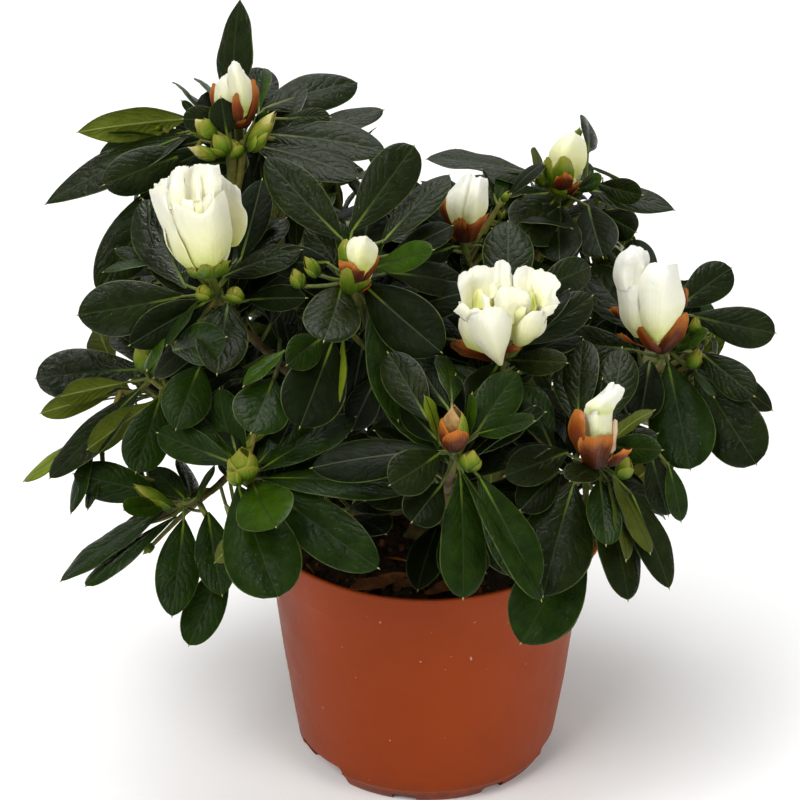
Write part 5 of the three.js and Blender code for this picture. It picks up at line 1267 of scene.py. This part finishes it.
zb = foot_edge(phi)
zt = POT["h"] - POT["collar"]
rows = []                                   # each row: radius and height over all columns
rows.append((np.full(len(phi), 28.5), np.zeros(len(phi))))
rows.append((np.full(len(phi), 29.8), np.zeros(len(phi)) + 0.0))
rows.append((np.full(len(phi), 30.0), np.maximum(zb, 0.02)))
rows.append((np.full(len(phi), 34.0), np.maximum(zb, 0.02)))
rows.append((np.full(len(phi), 37.0), np.maximum(zb, 0.0)))
for k, z in enumerate([0.0, 0.25, 0.7, 1.5, 2.6, 3.6, 4.5, 5.3, 6.0] + list(np.linspace(6.6, zt - 0.25, 30))):
    zr = np.maximum(zb + 0.05 * k, z)
    rows.append((skin_r(zr), zr))
rows.append((np.full(len(phi), wall_r(zt) + 0.30), np.full(len(phi), zt)))
rows.append((np.full(len(phi), wall_r(zt) + 0.42), np.full(len(phi), zt + 0.35)))
for z in np.linspace(zt + 1.2, POT["h"] - 1.9, 8):
    rows.append((np.full(len(phi), wall_r(z) + 0.36), np.full(len(phi), z)))
for r, z in ((52.32, -1.5), (52.62, -1.25), (52.68, -0.75), (52.55, -0.25), (52.2, 0.0), (51.7, -0.05), (51.35, -0.45), (51.25, -1.2)):
    rows.append((np.full(len(phi), r), np.full(len(phi), POT["h"] + z)))
for z in np.linspace(POT["h"] - 2.5, 11.8, 14):
    rows.append((np.full(len(phi), wall_r(z) - 0.85), np.full(len(phi), z)))
rows.append((np.full(len(phi), wall_r(10.6) - 1.5), np.full(len(phi), 10.6)))
rows.append((np.full(len(phi), 20.0), np.full(len(phi), 10.4)))
rng = np.random.default_rng(77)
dents = [(rng.integers(1, 6), rng.uniform(0.01, 0.05), rng.uniform(0, 6.3), rng.uniform(0, 6.3)) for _ in range(7)]
V, UVs = [], []
for r, z in rows:
    s = bulged(phi, z)
    wob = sum(a * np.sin(m * np.radians(phi) + p1 + z * 0.05 * m) for m, a, p1, p2 in dents)
    rr = r * s + wob * np.clip((z - 6) / 20, 0, 1)
    V.append(np.stack([rr * np.cos(np.radians(phi)), rr * np.sin(np.radians(phi)), z], -1))
V = np.array(V)
nr, nc = V.shape[:2]
idx = np.arange(nr * nc).reshape(nr, nc)
i, j = np.meshgrid(np.arange(nr - 1), np.arange(nc), indexing="ij")
i, j = i.ravel(), j.ravel(); j2 = (j + 1) % nc
quads = np.stack([idx[i, j], idx[i, j2], idx[i + 1, j2], idx[i + 1, j]], 1)
flat = np.concatenate([V.reshape(-1, 3), [[0, 0, 0.0], [0, 0, 10.4]]])
j = np.arange(nc); j2 = (j + 1) % nc
tris = np.concatenate([np.stack([np.full(nc, nr * nc), j2, j], 1), np.stack([np.full(nc, nr * nc + 1), idx[-1, j], idx[-1, j2]], 1)])
pot_bag = Bag("pot_shell", ["pot"], "pot")
uv = np.stack([np.concatenate([np.repeat(np.linspace(0, 1, nr), nc), [0, 1]]), np.concatenate([np.tile(phi / 360, nr), [0, 0]])], -1)
pot_bag.add(flat, uv, quads, 0, tris, 0)

rng = np.random.default_rng(505)
waves = [(rng.normal(0, 1, 2) * rng.uniform(0.15, 0.9), rng.uniform(0, 6.3), rng.uniform(0.1, 0.45)) for _ in range(26)]


def soil_z(x, y):
    r2 = (x * x + y * y) / 51.0 ** 2
    z = 78.4 - 1.6 * r2 * 0 - 1.2 + 1.1 * np.exp(-(x * x + y * y) / 160.0)
    for k, p, a in waves:
        z = z + a * 0.55 * np.sin(k[0] * x + k[1] * y + p)
    return z - 0.7 * np.clip(r2 - 0.8, 0, None) * 5


peat_bag = Bag("peat_ball", ["peat"], "soil")
nr, nc = 64, 150
a = np.arange(nc) * 2 * math.pi / nc
R = np.linspace(0.6, 50.35, nr)
X, Y = R[:, None] * np.cos(a), R[:, None] * np.sin(a)
s = bulged(np.degrees(a), np.full(nc, 75.2))
X, Y = X * (1 + (s - 1) * (R[:, None] / 50) ** 3), Y * (1 + (s - 1) * (R[:, None] / 50) ** 3)
Z = soil_z(X, Y) + rng.normal(0, 0.16, X.shape)
top = np.stack([X, Y, Z], -1)
side = []
for z in (70.0, 50.0, 30.0, 12.6):
    rr = wall_r(z) - 1.15
    side.append(np.stack([rr * np.cos(a), rr * np.sin(a), np.full(nc, z)], -1))
side.append(np.stack([30 * np.cos(a), 30 * np.sin(a), np.full(nc, 11.4)], -1))
V = np.concatenate([top, np.array(side)])
n1 = V.shape[0]
idx = np.arange(n1 * nc).reshape(n1, nc)
i, j = np.meshgrid(np.arange(n1 - 1), np.arange(nc), indexing="ij")
i, j = i.ravel(), j.ravel(); j2 = (j + 1) % nc
quads = np.stack([idx[i, j], idx[i + 1, j], idx[i + 1, j2], idx[i, j2]], 1)
flat = np.concatenate([V.reshape(-1, 3), [[0, 0, float(soil_z(0.0, 0.0))], [0, 0, 11.4]]])
j = np.arange(nc); j2 = (j + 1) % nc
tris = np.concatenate([np.stack([np.full(nc, n1 * nc), idx[0, j], idx[0, j2]], 1), np.stack([np.full(nc, n1 * nc + 1), idx[-1, j2], idx[-1, j]], 1)])
peat_bag.add(flat, np.zeros((len(flat), 2)), quads, 0, tris, 0)

# crumbs of peat: small uneven lumps
g = (1 + 5 ** 0.5) / 2
ICO_V = unit(np.array([(-1, g, 0), (1, g, 0), (-1, -g, 0), (1, -g, 0), (0, -1, g), (0, 1, g), (0, -1, -g), (0, 1, -g), (g, 0, -1), (g, 0, 1), (-g, 0, -1), (-g, 0, 1)], float))
ICO_F = np.array([(0, 11, 5), (0, 5, 1), (0, 1, 7), (0, 7, 10), (0, 10, 11), (1, 5, 9), (5, 11, 4), (11, 10, 2), (10, 7, 6), (7, 1, 8), (3, 9, 4), (3, 4, 2), (3, 2, 6), (3, 6, 8), (3, 8, 9), (4, 9, 5), (2, 4, 11), (6, 2, 10), (8, 6, 7), (9, 8, 1)])


def split(v, f):
    v = list(map(tuple, v)); seen = {}; out = []
    def mid(a, b):
        k = (min(a, b), max(a, b))
        if k not in seen:
            seen[k] = len(v)
            v.append(tuple(unit((np.array(v[a]) + np.array(v[b])) / 2)))
        return seen[k]
    for a, b, c in f:
        x, y, z = mid(a, b), mid(b, c), mid(c, a)
        out += [(a, x, z), (b, y, x), (c, z, y), (x, y, z)]
    return np.array(v), np.array(out)


BALL_V, BALL_F = split(ICO_V, ICO_F)
crumb_bag = Bag("peat_crumbs", ["crumb_dark", "crumb_brown"], "soil")
for k in range(850):
    big = k < 260
    r, az = 49.0 * math.sqrt(rng.random()), rng.uniform(0, 6.3)
    x, y = r * math.cos(az), r * math.sin(az)
    if r < 8.5:
        continue
    size = rng.uniform(0.7, 1.7) if big else rng.uniform(0.3, 0.8)
    bv, bf = (BALL_V, BALL_F) if big else (ICO_V, ICO_F)
    v = bv * (1 + rng.uniform(-0.28, 0.28, (len(bv), 1))) * size * rng.uniform(0.6, 1.3, 3)
    q = rng.uniform(0, 6.3)
    v = np.stack([v[:, 0] * math.cos(q) - v[:, 1] * math.sin(q), v[:, 0] * math.sin(q) + v[:, 1] * math.cos(q), v[:, 2]], -1)
    v = v + [x, y, float(soil_z(x, y)) + size * 0.35]
    crumb_bag.add(v, np.zeros((len(v), 2)), None, None, bf, int(rng.random() < 0.3))

# dry fallen leaves, petals and bits of stalk on the peat
litter = Bag("fallen_leaves", ["dead", "scale_brown", "crumb_brown"], "leaf")
for px, py, ang, L, W, curl in ((372, 588, 20, 15, 7, 0.5), (404, 575, 160, 17, 8, -0.45), (425, 566, 75, 12, 6, 0.6), (445, 590, 10, 13, 6, 0.5)) + tuple((None, None, rng.uniform(0, 360), rng.uniform(9, 18), rng.uniform(4, 8), rng.uniform(-0.7, 0.7)) for _ in range(6)):
    if px is None:
        r, az = 46 * math.sqrt(rng.uniform(0.1, 0.9)), rng.uniform(0, 6.3)
        x, y = r * math.cos(az), r * math.sin(az)
    else:
        p = at_y(px, py, 0.0)
        d = p - EYE
        q = EYE + d * ((79.5 - EYE[2]) / d[2])
        x, y = q[0], q[1]
    if math.hypot(x, y) > 43:
        x, y = x * 43 / math.hypot(x, y), y * 43 / math.hypot(x, y)
    u = np.linspace(0, 1, 12)[:, None]; w = np.linspace(-1, 1, 9)[None, :]
    half = W / 2 * np.clip(np.sin(math.pi * np.clip(u * 0.96 + 0.02, 0, 1)) ** 0.8, 0.05, 1)
    ca, sa = math.cos(math.radians(ang)), math.sin(math.radians(ang))
    lx = (u - 0.5) * L + 0 * w
    ly = half * w
    gx, gy = x + lx * ca - ly * sa, y + lx * sa + ly * ca
    gz = float(soil_z(x, y)) + 1.6 + abs(curl) * 0.9 * (ly / (W / 2)) ** 2 * 2.0 + curl * 1.6 * np.sin(u * 3.1) + 0.5 * np.sin(u * 7 + ang) * w ** 2
    rr = np.hypot(gx, gy)
    sc = np.minimum(1, 49.3 / rr)
    sheet(litter, np.stack([gx * sc, gy * sc, gz], -1), 0.35, 0, 0)
for k in range(14):
    r, az = 45 * math.sqrt(rng.uniform(0.08, 1)), rng.uniform(0, 6.3)
    x, y, q = r * math.cos(az), r * math.sin(az), rng.uniform(0, 6.3)
    L = rng.uniform(3, 8)
    p = np.array([[x + (t - 0.5) * L * math.cos(q), y + (t - 0.5) * L * math.sin(q), float(soil_z(x, y)) + 0.9 + 0.4 * math.sin(t * 3)] for t in (0, 0.33, 0.66, 1)])
    tube(litter, p, [0.35, 0.4, 0.38, 0.3], "scale_brown" if k % 2 else "crumb_brown", 6)

# ------------------------------------------------------------------ making the pieces
masses = list(MASSES)
front = [m for m in masses if m in SHOOT]
rear = [m for m in masses if m not in SHOOT]
o = stem_bag.make(60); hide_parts("stem")
for bag, name in bough_bags:
    o = bag.make(60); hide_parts(name)
o = twigs.make(60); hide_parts(*masses)
for bag, which in ((leaves_front, front), (leaves_crown, front), (leaves_side, rear), (leaves_back, rear),
                   (blooms, masses), (blooms_inner, masses), (blooms_back, masses), (scales, masses)):
    o = bag.make(50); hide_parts(*which)
o = pot_bag.make(32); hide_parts("pot")
for bag in (peat_bag, crumb_bag, litter):
    o = bag.make(50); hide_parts("root_ball")

# ------------------------------------------------------------------ floor, light and camera
me = bpy.data.meshes.new("floor")
me.from_pydata([(-6, -6, 0), (6, -6, 0), (6, 6, 0), (-6, 6, 0)], [], [(0, 1, 2, 3)])
floor = bpy.data.objects.new("floor", me)
bpy.context.collection.objects.link(floor)
floor.data.materials.append(plain_mat("floor_pale", (0.93, 0.93, 0.925, 1), (0.96, 0.96, 0.955, 1), 3, (0.75, 0.9)))

world = bpy.data.worlds.new("soft_room")
bpy.context.scene.world = world
world.use_nodes = True
world.node_tree.nodes["Background"].inputs["Color"].default_value = (1.0, 1.0, 1.0, 1)
world.node_tree.nodes["Background"].inputs["Strength"].default_value = 0.22


def area(name, place, aim, size, power, color=(1, 1, 1)):
    li = bpy.data.lights.new(name, "AREA")
    li.shape = "RECTANGLE"
    li.size, li.size_y = size
    li.energy = power
    li.color = color
    ob = bpy.data.objects.new(name, li)
    bpy.context.collection.objects.link(ob)
    ob.location = place
    d = unit(np.array(aim) - np.array(place))
    from mathutils import Vector
    ob.rotation_euler = Vector(d).to_track_quat("-Z", "Y").to_euler()
    return ob


area("key", (-0.75, -0.9, 1.15), (0, 0, 0.12), (0.9, 0.7), 18).visible_glossy = False
area("fill", (1.0, -0.9, 0.75), (0, 0, 0.12), (0.8, 0.8), 9.5).visible_glossy = False
area("top", (0.0, 0.3, 1.3), (0, 0, 0.12), (1.1, 0.9), 14)
area("back", (-0.2, 1.6, 0.9), (0, 0, 0.12), (1.6, 0.7), 5)
# a small one that only makes the glints on the glossy leaves
area("glint", (-0.35, -0.8, 1.25), (0, 0, 0.12), (0.16, 0.16), 2.5).visible_diffuse = False

cam = bpy.data.cameras.new("camera")
cam.sensor_fit = "HORIZONTAL"
cam.sensor_width = 36
cam.lens = 36 * FOCAL_PX / 800
cam.clip_start, cam.clip_end = 0.05, 20
cam.dof.use_dof = False
co = bpy.data.objects.new("camera", cam)
bpy.context.collection.objects.link(co)
co.location = tuple(EYE * MM)
co.rotation_euler = (math.pi / 2 - CAM_PITCH, 0, 0)
bpy.context.scene.camera = co
bpy.context.scene.view_settings.view_transform = "Standard"
